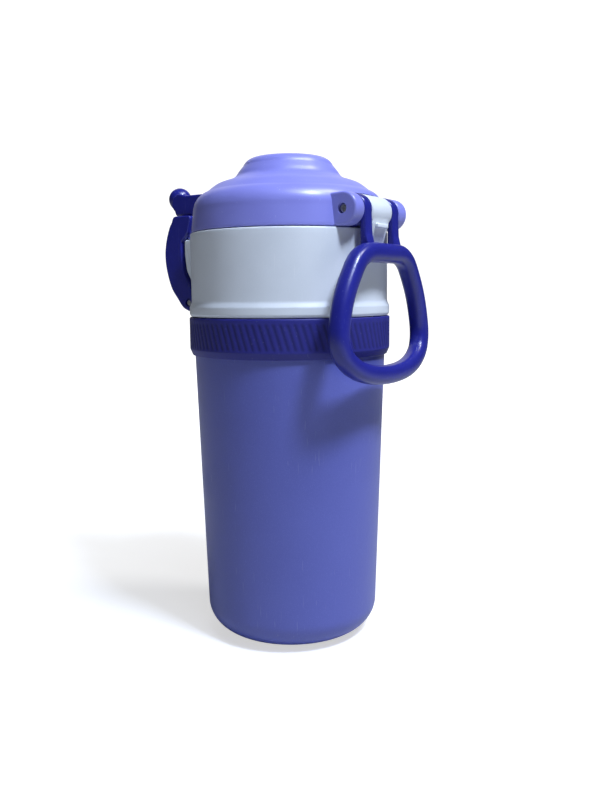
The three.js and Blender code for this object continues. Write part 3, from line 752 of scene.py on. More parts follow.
# %% Painted shell
STEEL_WALL = 0.6
BODY_TAPER = 3.6
BASE_ROUNDING = 11.0
BASE_LIFT = shell_low[2]
SHOULDER_ROUNDING, NECK_ROUNDING = 3.0, 0.8
FOOT_Z = BASE_LIFT + BASE_ROUNDING
FOOT_RADIUS = BODY_RADIUS - BODY_TAPER * (GRIP_BOTTOM - FOOT_Z) / GRIP_BOTTOM
OPENING = FOOT_RADIUS - BASE_ROUNDING  # radius of the base opening
NECK_TOP = shell_high[2]


def shell_profile():
    """Up the outside from the base opening to the top of the neck, then the inside back down."""
    r, n = SHOULDER_ROUNDING, NECK_ROUNDING
    outside = [
        arc(OPENING, FOOT_Z, BASE_ROUNDING, -90, 0, 20),
        dense(np.array([[FOOT_RADIUS, FOOT_Z], [BODY_RADIUS, GRIP_BOTTOM]]), 2.0, False)[1:],
        arc(BODY_RADIUS - r, SHOULDER_Z - r, r, 0, 90, 8),
        arc(NECK_RADIUS + n, SHOULDER_Z + n, n, -90, -180, 4),
        dense(np.array([[NECK_RADIUS, SHOULDER_Z + 1.0], [NECK_RADIUS, NECK_TOP]]), 0.3, False),
    ]
    inner = NECK_RADIUS - STEEL_WALL
    inside = [
        [[inner, NECK_TOP], [inner, SHOULDER_Z - STEEL_WALL]],
        arc(BODY_RADIUS - r, SHOULDER_Z - r, r - STEEL_WALL, 90, 0, 6),
        [[BODY_RADIUS - STEEL_WALL, GRIP_BOTTOM]],
        arc(OPENING, FOOT_Z, BASE_ROUNDING - STEEL_WALL, 0, -90, 12),
    ]
    return np.vstack(outside + inside)


def neck_thread(a, r, h):
    """The thread's height, on the outside of the neck only."""
    return np.where(abs(r - NECK_RADIUS) < 0.01, THREAD_HEIGHT * thread(a, h, THREAD_START), 0)


painted_shell = turned("painted_shell", shell_profile(), 192, swell=neck_thread)
fit(painted_shell, "flask", "body_paint", body_paint, "outer_shell")

# %% [markdown]
# The paint stops at the shoulder: the neck is bare spun steel, as it is masked before spraying.
# A piece can hold two materials, and each face takes one by its index. The faces above the
# shoulder, and those of the inside, get the steel.

# %% Bare neck


def faces_with(piece, index, chosen):
    """Gives the faces where chosen(radius, height) is true that material index."""
    count = len(piece.data.polygons)
    centre = np.empty(count * 3)
    piece.data.polygons.foreach_get("center", centre)
    x, y, z = centre.reshape(-1, 3).T / MM
    picked = np.where(chosen(np.hypot(x, y), z), index, 0).astype(np.int32)
    piece.data.polygons.foreach_set("material_index", picked)
    print(f"{piece.name}: {int((picked == index).sum())} faces of material {index}")


painted_shell.data.materials.append(steel)
faces_with(painted_shell, 1, lambda r, z: z > SHOULDER_Z - 0.2)

# %% [markdown]
# Inside stands the flask that holds the drink, with the vacuum between the two walls. Its mouth
# is rolled out over the neck of the shell. It shows when the collar is off, so it gets a smooth
# floor corner and a soft rim.

# %% Inner flask
VACUUM = 2.2
flask_low, flask_high = box_of("inner_flask")
MOUTH_Z = flask_high[2]
FLOOR_Z = flask_low[2]
FLASK_ROUNDING = 9.0


def flask_profile():
    """The outside from the middle of the floor to the mouth, then the inside back down."""
    back = STEEL_WALL + VACUUM
    wall = STEEL_WALL
    corner = FLOOR_Z + FLASK_ROUNDING
    side = BODY_RADIUS - BODY_TAPER * (GRIP_BOTTOM - corner) / GRIP_BOTTOM - back
    centre = side - FLASK_ROUNDING
    top = BODY_RADIUS - back
    shoulder = SHOULDER_Z - back
    neck = NECK_RADIUS - STEEL_WALL - GAP
    turn = SHOULDER_ROUNDING - STEEL_WALL
    lip = NECK_RADIUS
    return np.vstack([
        [[0, FLOOR_Z]],
        arc(centre, corner, FLASK_ROUNDING, -90, 0, 14),
        arc(top - turn, shoulder - turn, turn, 0, 90, 6),
        [[neck, shoulder], [neck, MOUTH_Z - wall], [lip, MOUTH_Z - wall]],
        arc(lip - 0.3, MOUTH_Z - 0.3, 0.3, 0, 90, 3),
        arc(neck - wall + 0.5, MOUTH_Z - 0.5, 0.5, 90, 180, 4),
        [[neck - wall, shoulder - wall]],
        arc(top - turn, shoulder - turn, turn - wall, 90, 0, 6),
        arc(centre, corner, FLASK_ROUNDING - wall, 0, -90, 14),
        [[0, FLOOR_Z + wall]],
    ])


inner_wall = turned("inner_wall", dense(flask_profile(), 3.0, False), 128)
fit(inner_wall, "flask", "steel", steel, "inner_flask")

# %% [markdown]
# Under the bottle a steel disc closes the base, with a silicone pad stuck in the middle so that
# the bottle doesn't ring or slide on a table. The pad has moulded rings, which are only a few
# steps in its turned profile, and a small dished centre.

# %% Base disc and foot pad
cap_low, cap_high = box_of("base_cap")
pad_high = box_of("base_pad")[1]
getter_low, getter_high = box_of("getter")
PAD_RINGS = (7.0, 10.5, 14.0, 17.5)
RING_HALF, RING_DEPTH, RING_SLOPE = 0.55, 0.35, 0.2

disc = rounded([
    (0, cap_low[2], 0), (cap_high[0], cap_low[2], 0.25), (cap_high[0], cap_high[2], 0.25),
    (0, cap_high[2], 0),
], closed=False)
base_disc = turned("base_disc", dense(disc, 2.0, False), 128)
fit(base_disc, "flask", "steel", steel, "base_cap")


def pad_profile():
    """Down the flat underside with a groove at each ring, round the edge and back on top."""
    radius, top = pad_high[0], pad_high[2]
    corners = [(0, 0.5, 0), (2.4, 0.5, 0.3), (3.0, 0, 0.3)]
    for ring in PAD_RINGS:
        start, end = ring - RING_HALF, ring + RING_HALF
        corners += [(start, 0, 0.12), (start + RING_SLOPE, RING_DEPTH, 0.1)]
        corners += [(end - RING_SLOPE, RING_DEPTH, 0.1), (end, 0, 0.12)]
    corners += [(radius, 0, 0.4), (radius, top, 0.3), (0, top, 0)]
    return rounded(corners, closed=False, steps=3)


foot_pad = turned("foot_pad", dense(pad_profile(), 2.0, False), 128)
fit(foot_pad, "flask", "grey_silicone", grey_silicone, "base_pad")

button = rounded([
    (0, getter_low[2], 0), (getter_high[0], getter_low[2], 0.3),
    (getter_high[0], getter_high[2] - 0.6, 0.4), (getter_high[0] - 1, getter_high[2], 0.4),
    (0, getter_high[2], 0),
], closed=False)
vacuum_button = turned("vacuum_button", button, 48)
fit(vacuum_button, "flask", "steel", steel, "getter")

# %% [markdown]
# The grip ring has 96 slanted ribs between two plain bands, and a bevel along its
# lower edge. The ribs are a wave in the wall's radius: the phase grows with the angle and with
# the height, so each rib leans. A normal map would fake them, but real grooves catch the
# light at the silhouette and stay part of the mesh itself.

# %% Ribbed grip ring
RIBS = 96
RIB_DEPTH = 0.17
RIB_LEAN = math.tan(math.radians(17))
RIB_SHARPNESS = 1.6  # above 1, a crest is wider than a groove
RIB_FADE = 0.8  # the ribs fade out over this height
POINTS_PER_RIB = 10
GRIP_BEVEL, GRIP_ROUNDING = 2.4, 0.55
grip_radius = grip_high[1]
grip_bore = BODY_RADIUS + GAP
rib_low, rib_high = GRIP_BOTTOM + GRIP_BEVEL + 0.4, GRIP_TOP - 1.5


def groove(angle, height):
    """0 on a crest and 1 in a groove: a rounded wave of angle and height, which fades out
    towards the plain bands."""
    phase = RIBS * (angle + RIB_LEAN * (height - GRIP_BOTTOM) / grip_radius)
    wave = (0.5 - 0.5 * np.cos(phase)) ** RIB_SHARPNESS
    start = np.clip((height - rib_low) / RIB_FADE, 0, 1)
    end = np.clip((rib_high - height) / RIB_FADE, 0, 1)
    return wave * start * end


def grip_swell(a, r, h):
    """Minus the rib depth in a groove, on the outside of the ring only."""
    return np.where(r > grip_radius - 0.01, -RIB_DEPTH * groove(a, h), 0)


def grip_profile():
    """From the bore along the lower edge, up the ribbed face and over to the bore again."""
    face_low, face_high = GRIP_BOTTOM + GRIP_BEVEL + 0.3, GRIP_TOP - GRIP_ROUNDING
    face = dense(np.array([[grip_radius, face_low], [grip_radius, face_high]]), 0.5, False)
    lower = rounded([
        (grip_bore, GRIP_BOTTOM, 0), (grip_bore + 0.6, GRIP_BOTTOM, 0.4),
        (grip_radius - 0.02, GRIP_BOTTOM + GRIP_BEVEL, 0.8), tuple(face[0]) + (0,),
    ], closed=False, steps=4)
    upper = arc(grip_radius - GRIP_ROUNDING, face_high, GRIP_ROUNDING, 15, 90, 4)
    return np.vstack([lower[:-1], face, upper, [[grip_bore, GRIP_TOP]]])


ribbed_grip = turned("ribbed_grip", grip_profile(), RIBS * POINTS_PER_RIB, swell=grip_swell)


def mark_crests(piece):
    """Writes the attribute the silicone reads: 1 on crests and plain bands, 0 in a groove."""
    count = len(piece.data.vertices)
    place = np.empty(count * 3)
    piece.data.vertices.foreach_get("co", place)
    x, y, z = place.reshape(-1, 3).T / MM
    crest = 1 - groove(np.arctan2(y, x), z) * (np.hypot(x, y) > grip_radius - 0.6)
    attribute = piece.data.attributes.new("crest", "FLOAT", "POINT")
    attribute.data.foreach_set("value", crest.astype(np.float32))


mark_crests(ribbed_grip)
fit(ribbed_grip, "grip", "navy_silicone", navy_silicone, "grip_ring")

# %% [markdown]
# The collar screws onto the neck. Its wall is plain, with a flared bead round the lower edge and
# a deck inside, a little below the rim. The knuckle of the hinge, the boss behind the latch
# and the lug for the latch's pin are moulded on, so they are joined to the turned body.

# %% Collar body
COLLAR_WALL = 2.4
BEAD_PROUD = 0.85
DECK_DROP, DECK_THICKNESS = 1.8, 2.4
DECK_TOP = COLLAR_TOP - DECK_DROP
DECK_BOTTOM = DECK_TOP - DECK_THICKNESS
GASKET_HEIGHT = 1.6
LEDGE_BOTTOM = MOUTH_Z + GAP + GASKET_HEIGHT + GAP
LEDGE_TOP = LEDGE_BOTTOM + 2
FLASK_MOUTH = NECK_RADIUS - 2 * STEEL_WALL - GAP
SOCKET_RADIUS = 8.0
VENT_X = -20.0


def collar_profile():
    """Up the outside from the lower edge, over the rim, across the deck and down the thread."""
    out, hollow = COLLAR_RADIUS, COLLAR_RADIUS - COLLAR_WALL
    bead, rim = out + BEAD_PROUD, hollow - 1.8
    corners = [
        (THREAD_BORE, COLLAR_BOTTOM, 0.3), (bead - 0.5, COLLAR_BOTTOM, 0.4),
        (bead, COLLAR_BOTTOM + 1.0, 0.6), (bead, COLLAR_BOTTOM + 3.6, 1.6),
        (out, COLLAR_BOTTOM + 5.4, 3.0), (out, COLLAR_TOP, 0.6), (rim + 0.4, COLLAR_TOP, 0.4),
        (rim, COLLAR_TOP - 0.6, 0.2), (rim, DECK_TOP, 0.3),
        (SOCKET_RADIUS + GAP, DECK_TOP, 0.3), (SOCKET_RADIUS + GAP, DECK_BOTTOM, 0.3),
        (hollow, DECK_BOTTOM, 0.8), (hollow, LEDGE_TOP, 0.5),
        (FLASK_MOUTH, LEDGE_TOP, 0.3), (FLASK_MOUTH, LEDGE_BOTTOM, 0.3),
        (THREAD_BORE, LEDGE_BOTTOM, 0),
    ]
    bore = np.array([[THREAD_BORE, LEDGE_BOTTOM], [THREAD_BORE, COLLAR_BOTTOM + 0.6]])
    return np.vstack([dense(rounded(corners), 2.0, False)[:-1], dense(bore, 0.3, False)])


def collar_thread(a, r, h):
    """The collar's own ridge stands inwards, half a pitch above the neck's."""
    ridge = thread(a, h, THREAD_START + THREAD_PITCH / 2)
    return np.where(abs(r - THREAD_BORE) < 0.01, -THREAD_HEIGHT * ridge, 0)


drinking_collar = turned("drinking_collar", collar_profile(), 192, swell=collar_thread)
print("collar wall:", len(drinking_collar.data.vertices), "points")

# %% [markdown]
# The knuckle carries the hinge pin over the rim, on a web that runs down the collar's wall, with
# a small ledge in front that stops the loop. Behind the latch lever stands a boss whose face the
# lever closes on, with a lug below for the lever's pin. The latch's heights are shares of the
# span from the lever's pin to its top, as they are in the solid.

# %% Collar knuckle, boss and lug
KNUCKLE_HALF = 7.3
BORE = (pin_high[2] - pin_low[2]) / 2 + GAP
LATCH_BORE = (rod_high[2] - rod_low[2]) / 2 + GAP
LEVER_TOP = lever_high[2]
BOSS_X = -(COLLAR_RADIUS + 7.4)
BOSS_TOP = COLLAR_TOP - 0.8
BOSS_BACK = -(COLLAR_RADIUS - 1.5)  # the boss and the lug start inside the collar's wall
LATCH_HALF = lever_high[1]
LUG_HALF, LUG_RADIUS = 3.4, 3.0
VENT_RADIUS = 2.3


def latch_at(share):
    """A height on the latch as a share of the way from its pin to the lever's top."""
    return LATCH_Z + share * (LEVER_TOP - LATCH_Z)


def knuckle_web():
    """The web that carries the knuckle, an outline across the bottle with soft sides."""
    inside, front, foot = HINGE_X - 2, HINGE_X + KNUCKLE_RADIUS, COLLAR_TOP - 8.5
    outline = rounded([
        (inside, foot, 0), (COLLAR_RADIUS - 0.1, foot, 2.0),
        (COLLAR_RADIUS + 1.3, COLLAR_TOP - 2.5, 3.0), (front - 0.7, COLLAR_TOP + 1.6, 2.0),
        (front - 0.3, HINGE_Z, 0), (inside, HINGE_Z, 0),
    ])
    return slab("web", outline, KNUCKLE_HALF - 1.2, edge=1.0)


def stop_ledge():
    """The small ledge in front of the knuckle."""
    return block("ledge", HINGE_X + 3, HINGE_X + 6.0, 3.9, COLLAR_TOP + 0.1, COLLAR_TOP + 1.7,
                 edge=0.4, corner=0.5)


def latch_boss():
    """The boss behind the lever, with a face that bellies out like the lever's inner line."""
    outline = rounded([
        (BOSS_BACK, latch_at(0.11), 0), (LATCH_X + 3.4, latch_at(0.14), 1.0),
        (BOSS_X + 4.4, latch_at(0.2), 3.0), (BOSS_X + 1.0, latch_at(0.37), 6.0),
        (BOSS_X + 0.1, latch_at(0.57), 6.0), (BOSS_X + 0.2, BOSS_TOP, 0.9),
        (BOSS_BACK, BOSS_TOP, 0),
    ])
    return slab("boss", outline, LATCH_HALF - 0.5, edge=0.8)


def latch_lug():
    """An eye round the lever's pin on a plate of the same height."""
    plate = block("lug", LATCH_X, BOSS_BACK, LUG_HALF, LATCH_Z - LUG_RADIUS, LATCH_Z + LUG_RADIUS,
                  edge=0.3)
    return join(bar("lug_eye", LATCH_X, LATCH_Z, LUG_RADIUS, LUG_HALF, edge=0.3), plate)


knuckle = bar("knuckle", HINGE_X, HINGE_Z, KNUCKLE_RADIUS, KNUCKLE_HALF, edge=0.7)
join(drinking_collar, knuckle, knuckle_web(), stop_ledge(), latch_boss(), latch_lug())
cut(
    drinking_collar,
    bar("pin_bore", HINGE_X, HINGE_Z, BORE, KNUCKLE_HALF + 2, edge=0, count=32),
    bar("latch_bore", LATCH_X, LATCH_Z, LATCH_BORE, LUG_HALF + 2, edge=0, count=24),
    turned("vent_bore", [[0, DECK_BOTTOM - 2], [VENT_RADIUS, DECK_BOTTOM - 2],
                         [VENT_RADIUS, DECK_TOP + 2], [0, DECK_TOP + 2]], 32, VENT_X),
)
fit(drinking_collar, "collar", "white_plastic", white_plastic, "collar")

# %% [markdown]
# The gasket lies between the flask's mouth and the collar. It is a plain silicone ring, but its
# section has two soft beads, which are what really seals, so it is turned from that section.

# %% Neck gasket
gasket_low, gasket_high = box_of("neck_gasket")
inner_edge, outer_edge = FLASK_MOUTH + GAP, gasket_high[0]
middle_edge = (inner_edge + outer_edge) / 2
ring_section = rounded([
    (inner_edge, gasket_low[2], 0.4), (middle_edge, gasket_low[2] + 0.2, 0.5),
    (outer_edge, gasket_low[2], 0.4), (outer_edge, gasket_high[2], 0.4),
    (middle_edge, gasket_high[2] - 0.2, 0.5), (inner_edge, gasket_high[2], 0.4),
], steps=4)
mouth_gasket = turned("mouth_gasket", ring_section, 128)
fit(mouth_gasket, "seal_lift", "clear_silicone", clear_silicone, "neck_gasket")

# %% [markdown]
# The drinking parts stand on the deck: a socket pushed in from below, the straw in it, and
# a soft mouthpiece on top, with a small valve beside it that lets air in. All are turned. The
# mouthpiece is waisted like a real one, so that lips and teeth hold it, and its rim is full.

# %% Socket and straw
socket_low, socket_high = box_of("straw_socket")
straw_low, straw_high = box_of("straw")
spout_low, spout_high = box_of("mouthpiece")
SPOUT_BORE = 1.9
STRAW_RADIUS = straw_high[0]
STRAW_WALL = 0.9
socket_bore = STRAW_RADIUS + GAP
flange, flange_low = socket_high[0], DECK_TOP + GAP

socket_section = rounded([
    (socket_bore, socket_low[2], 0.2), (SOCKET_RADIUS - 1.5, socket_low[2], 0.3),
    (SOCKET_RADIUS, socket_low[2] + 1.5, 0.5), (SOCKET_RADIUS, flange_low, 0.1),
    (flange, flange_low, 0.4), (flange, socket_high[2], 0.4),
    (SPOUT_BORE, socket_high[2], 0.3), (SPOUT_BORE, DECK_BOTTOM, 0.2),
    (socket_bore, DECK_BOTTOM, 0.2),
], steps=4)
straw_holder = turned("straw_holder", dense(socket_section, 1.5), 96)
fit(straw_holder, "collar", "white_plastic", white_plastic, "straw_socket")

straw_section = rounded([
    (STRAW_RADIUS - STRAW_WALL, straw_low[2], 0.2), (STRAW_RADIUS, straw_low[2], 0.3),
    (STRAW_RADIUS, straw_high[2], 0.3), (STRAW_RADIUS - STRAW_WALL, straw_high[2], 0.2),
], steps=3)
drinking_straw = turned("drinking_straw", dense(straw_section, 3.0), 48)
fit(drinking_straw, "collar", "straw_plastic", straw_plastic, "straw")

# %% Mouthpiece
SPOUT_TIP, SPOUT_WAIST = 6.2, 5.85
SPOUT_ROUNDING = 1.6
WAIST_SHARE = 0.62  # the waist's height as a share of the mouthpiece's
spout_bottom, spout_top = spout_low[2], spout_high[2]
waist_z = spout_bottom + WAIST_SHARE * (spout_top - spout_bottom)
foot = spout_high[0]
side = np.array([
    (8.2, spout_bottom + 2.2), (7.2, spout_bottom + 5.5), (6.2, spout_bottom + 9.5),
    (SPOUT_WAIST, waist_z), (5.9, waist_z + 2.0), (6.1, spout_top - 4.0),
    (SPOUT_TIP, spout_top - 3.0),
])
spout_section = np.vstack([
    [[SPOUT_BORE, spout_bottom]],
    arc(foot - 0.4, spout_bottom + 0.4, 0.4, -90, 0, 3),
    arc(foot - 0.5, spout_bottom + 0.9, 0.5, 0, 60, 3),
    spline(side, 30),
    arc(SPOUT_TIP - SPOUT_ROUNDING, spout_top - SPOUT_ROUNDING, SPOUT_ROUNDING, 0, 90, 8),
    arc(SPOUT_BORE + 0.5, spout_top - 0.5, 0.5, 90, 180, 4),
])
soft_mouthpiece = turned("soft_mouthpiece", dense(spout_section, 1.5), 96)
fit(soft_mouthpiece, "collar", "clear_silicone", clear_silicone, "mouthpiece")

# %% Air valve
valve_low, valve_high = box_of("vent_valve")
stem = VENT_RADIUS - GAP
below, above = DECK_BOTTOM - GAP, DECK_TOP + GAP
valve_section = rounded([
    (0, valve_low[2], 0), (stem + 0.2, valve_low[2] + 0.4, 0.4), (stem + 1, below, 0.2),
    (stem, below, 0.1), (stem, above, 0.1), (stem + 2, above, 0.3),
    (stem + 1.4, DECK_TOP + 1.2, 0.4), (0, valve_high[2], 0),
], closed=False, steps=3)
air_valve = turned("air_valve", valve_section, 48, VENT_X)
fit(air_valve, "collar", "clear_silicone", clear_silicone, "vent_valve")

# %% [markdown]
# The lid is a shallow dome: a skirt that leans in slightly, a round shoulder, a hollow slope and
# a raised cap with a soft edge. One outline gives it all, and the same outline moved inwards
# gives the inside of its wall and the liner, so the pieces nest however the dome is shaped.

# %% Lid outline
LID_WALL, LINER_WALL = 1.8, 1.2
LINER_LIFT = 0.4  # the liner's edge above the lid's
CAP_RADIUS, CAP_HEIGHT = 19.6, 7.4
CAP_EDGE = 5.0  # radius of the cap's soft edge
CAP_EDGE_IN = 6.9  # from the cap's side in to the middle of that edge
DOME_ROUNDING, DOME_TURN = 7.8, 70  # the shoulder's radius, and how far it turns in degrees
SHOULDER_DROP = 5.6  # from the foot of the cap down to the shoulder
SKIRT_FLARE, SKIRT_LEAN = 0.4, 0.5


def dome_line(steps=14):
    """From the rim to the middle of the cap: skirt, shoulder arc, a spline for the slope and the
    cap's side, the arc of its edge and a nearly flat top."""
    foot_z = LID_TOP - CAP_HEIGHT
    centre_z = foot_z - SHOULDER_DROP - DOME_ROUNDING * math.sin(math.radians(DOME_TURN))
    centre_r = LID_RADIUS - DOME_ROUNDING - SKIRT_LEAN
    shoulder = arc(centre_r, centre_z, DOME_ROUNDING, 0, DOME_TURN, steps)
    edge = arc(CAP_RADIUS - CAP_EDGE_IN, LID_TOP - CAP_EDGE, CAP_EDGE, 24, 90, steps)
    slope = spline(np.array([
        shoulder[-2], shoulder[-1], (CAP_RADIUS + 8.0, foot_z - 2.7),
        (CAP_RADIUS + 3.2, foot_z - 1.0), (CAP_RADIUS + 0.9, foot_z + 0.3),
        (CAP_RADIUS - 0.6, foot_z + 2.3), edge[0], edge[1],
    ]), 46)
    slope = slope[7:-7]  # without the two end pieces, which are on the arcs already
    top = np.column_stack([np.linspace(edge[-1, 0], 0, 12)[1:], np.full(11, LID_TOP)])
    skirt_foot = [LID_RADIUS + SKIRT_FLARE, LID_BOTTOM]
    rim = dense(np.array([skirt_foot, shoulder[0]]), 0.8, False)[:-1]
    return np.vstack([rim, shoulder, slope, edge, top])


def dome_shell(name, offset, wall, lift, count=192):
    """The dome between the outline moved in by offset and moved in by offset + wall."""
    outside, inside = beside(dome_line(), offset), beside(dome_line(), offset + wall)
    bottom = LID_BOTTOM + lift
    outside = outside[outside[:, 1] > bottom + 0.5]
    inside = inside[inside[:, 1] > bottom + 0.3]
    rim = rounded([
        tuple(outside[0]) + (0,), (outside[0, 0], bottom, 0.45), (inside[0, 0], bottom, 0.25),
        tuple(inside[0]) + (0,),
    ], closed=False, steps=4)
    return turned(name, np.vstack([outside[::-1], rim[1:-1], inside]), count)


def dome_room(name, offset):
    """The solid space inside the outline moved in by offset (outwards if it is negative)."""
    line = beside(dome_line(), offset)
    return turned(name, np.vstack([[[0, line[0, 1]]], line]), 192)


print("dome line:", len(dome_line()), "points, cap radius", CAP_RADIUS)

# %% [markdown]
# The lid's two outer knuckles, the pocket in which the collar's knuckle and the loop's ears turn,
# and the tab between the lever's cheeks are part of the same moulding. Each is a slab or
# a bar with rounded edges, joined to the dome or cut from it.

# %% Lid
EAR_INNER = KNUCKLE_HALF + GAP
EAR_WIDTH = 4.85
EAR_OUTER = EAR_INNER + EAR_WIDTH
LID_KNUCKLE_INNER = EAR_OUTER + GAP
LID_KNUCKLE_WIDTH = 6.05
LID_KNUCKLE_OUTER = LID_KNUCKLE_INNER + LID_KNUCKLE_WIDTH
POCKET_RADIUS = KNUCKLE_RADIUS + 0.5
POCKET_WALL = 1.7
ROOT_BACK = HINGE_X - 7  # how far a lid knuckle's root runs back
TAB_HALF = 8.5
TAB_TOP = LID_BOTTOM + 8.5
PEG_RADIUS = 2.2
PEG_Z = knob_low[2] + 4.2
PEG_DEPTH = 5.8  # from the skirt's face to the inner end of the peg


def lid_knuckle(side):
    """A barrel round the pin with a root that runs back into the skirt, one on each side."""
    barrel = arc(HINGE_X, HINGE_Z, KNUCKLE_RADIUS, -90, 90, 28)
    outline = np.vstack([
        [[ROOT_BACK, LID_BOTTOM]], barrel, [[ROOT_BACK, HINGE_Z + KNUCKLE_RADIUS - 0.4]],
    ])
    half = LID_KNUCKLE_WIDTH / 2
    middle = side * (LID_KNUCKLE_INNER + half)
    return slab("lid_knuckle", dense(outline, 1.5), half, middle, edge=0.9, steps=5)


def latch_tab():
    """The tab that stands out over the boss, an outline across the bottle."""
    back = -(COLLAR_RADIUS + 0.6)
    outline = rounded([
        (-(LID_RADIUS - 1.2), LID_BOTTOM, 0), (back, LID_BOTTOM, 0.2), (back, BOSS_TOP + 0.4, 0.3),
        (BOSS_X + 0.3, BOSS_TOP + 0.4, 0.7), (BOSS_X + 0.6, TAB_TOP, 1.0),
        (-(LID_RADIUS - 2.2), TAB_TOP, 0),
    ])
    return slab("tab", outline, TAB_HALF, edge=0.8)


def pocket_room(name, radius, half):
    """The turning room of the knuckle and the ears, open downwards and outwards."""
    room = bar(name, HINGE_X, HINGE_Z, radius, half, edge=0, count=96)
    return join(room, block("below", HINGE_X, HINGE_X + 9, half, LID_BOTTOM - 4, HINGE_Z))


def peg(name, radius, outer, inner):
    """A round peg along X, from outer to inner."""
    path = np.array([[outer, 0, PEG_Z], [inner, 0, PEG_Z]])
    across, up = np.tile([0.0, 1, 0], (2, 1)), np.tile([0.0, 0, 1], (2, 1))
    return tube(name, path, across, up, (radius, radius), 32, "flat")


peg_outer = knob_low[0] + 6.6
peg_end = LID_RADIUS - PEG_DEPTH
hole_end = peg_end - PEG_DEPTH  # the hole's tool runs well past the peg
dome_lid = dome_shell("dome_lid", 0, LID_WALL, 0)
pocket_skin = bar("pocket_skin", HINGE_X, HINGE_Z, POCKET_RADIUS + POCKET_WALL,
                  LID_KNUCKLE_INNER + 1.5, edge=1.0, count=96)
keep_inside(pocket_skin, dome_room("dome_inside", LID_WALL / 2))
join(dome_lid, pocket_skin, lid_knuckle(1), lid_knuckle(-1), latch_tab())
cut(
    dome_lid,
    pocket_room("pocket", POCKET_RADIUS, LID_KNUCKLE_INNER),
    bar("pin_bore", HINGE_X, HINGE_Z, BORE, LID_KNUCKLE_OUTER + 2, edge=0, count=32),
    peg("peg_hole", PEG_RADIUS + GAP, peg_outer, -hole_end),
)
fit(dome_lid, "lid", "lavender_plastic", lavender_plastic, "lid")

# %% [markdown]
# The liner is the lid's white inner shell: the same outline, moved in past the lid's wall. Room is
# cut in it for the hinge's pocket, the knuckles' roots and the knob's peg. The pad under its
# middle presses on the mouthpiece, with a groove that lets it seat.

# %% Lid liner and spout pad
room_half = LID_KNUCKLE_OUTER + GAP
lid_inner = dome_shell("lid_inner", LID_WALL + GAP, LINER_WALL, LINER_LIFT, 160)
cut(
    lid_inner,
    bar("hinge_room", HINGE_X, HINGE_Z, POCKET_RADIUS + POCKET_WALL + GAP, room_half, edge=0,
        count=96),
    block("root_room", ROOT_BACK - GAP, HINGE_X + 3, room_half, LID_BOTTOM - 1,
          HINGE_Z + KNUCKLE_RADIUS),
    peg("peg_room", PEG_RADIUS + 1 + GAP, peg_outer, -hole_end),
)
fit(lid_inner, "lid", "liner_plastic", liner_plastic, "lid_liner")

seal_low, seal_high = box_of("spout_seal")
pad_radius, pad_bottom, pad_top = seal_high[0], seal_low[2], seal_high[2]
groove_top = pad_bottom + 0.3
pad_section = rounded([
    (0, pad_bottom, 0), (pad_radius - 3.2, pad_bottom, 0.3), (pad_radius - 2.8, groove_top, 0.3),
    (pad_radius - 1.6, groove_top, 0.3), (pad_radius - 1.2, pad_bottom, 0.3),
    (pad_radius, pad_bottom, 0.4), (pad_radius, pad_top, 0.3), (0, pad_top, 0),
], closed=False, steps=4)
spout_pad = turned("spout_pad", dense(pad_section, 1.5, False), 80)
fit(spout_pad, "lid", "clear_silicone", clear_silicone, "spout_seal")

# %% [markdown]
# The knob is the small ball that a thumb pushes up to flip the lid. A short bridge carries it
# from the skirt, and a peg behind holds it. The ball and the bridge are closed shapes that
# overlap, so joining them leaves one skin, and the dome's own shape is cut from its back.

# %% Thumb knob
BALL_RADIUS, BRIDGE_HALF = 4.75, 6.8
ball_x, ball_z = knob_low[0] + BALL_RADIUS, knob_high[2] - BALL_RADIUS
knob_bottom = knob_low[2]


def knob_bridge():
    """The bridge from the ball to the skirt, an outline across the bottle."""
    back = -(LID_RADIUS - 6)
    outline = rounded([
        (back, knob_bottom, 0), (ball_x + 3.4, knob_bottom, 1.3),
        (ball_x + 2.6, knob_bottom + 2.0, 2.0), (ball_x + 0.8, knob_bottom + 4.2, 2.0),
        (ball_x + 1.6, ball_z, 2.0), (ball_x + 4.6, ball_z + 1.7, 3.0),
        (ball_x + 9, ball_z + 0.6, 4.0), (back, ball_z + 0.5, 0),
    ])
    return slab("knob_bridge", outline, BRIDGE_HALF, edge=0.9, steps=5)


half_circle = np.vstack([
    [[0, ball_z - BALL_RADIUS]], arc(0, ball_z, BALL_RADIUS, -88, 88, 34),
    [[0, ball_z + BALL_RADIUS]],
])
thumb_ball = turned("thumb_ball", half_circle, 64, ball_x)
bridge = cut(knob_bridge(), dome_room("dome_clear", -GAP))
join(thumb_ball, bridge, peg("peg", PEG_RADIUS, ball_x + 2, -peg_end))
fit(thumb_ball, "lid", "navy_plastic", navy_plastic, "thumb_knob")

# %% [markdown]
# The lever is a crescent that hugs the boss: the outer line is one smooth curve through a few
# points, the inner line another. It has the full width of the latch and soft edges. At its top
# two cheeks stand beside the lid's tab, and a slot at its foot lets it turn round the lug.
# The soft edge is kept smaller than every corner of the outline: a larger one would make the
# outline cross itself as it shrinks, and leave a black patch on the flat side.

# %% Latch lever
LEVER_TAIL = 3.4


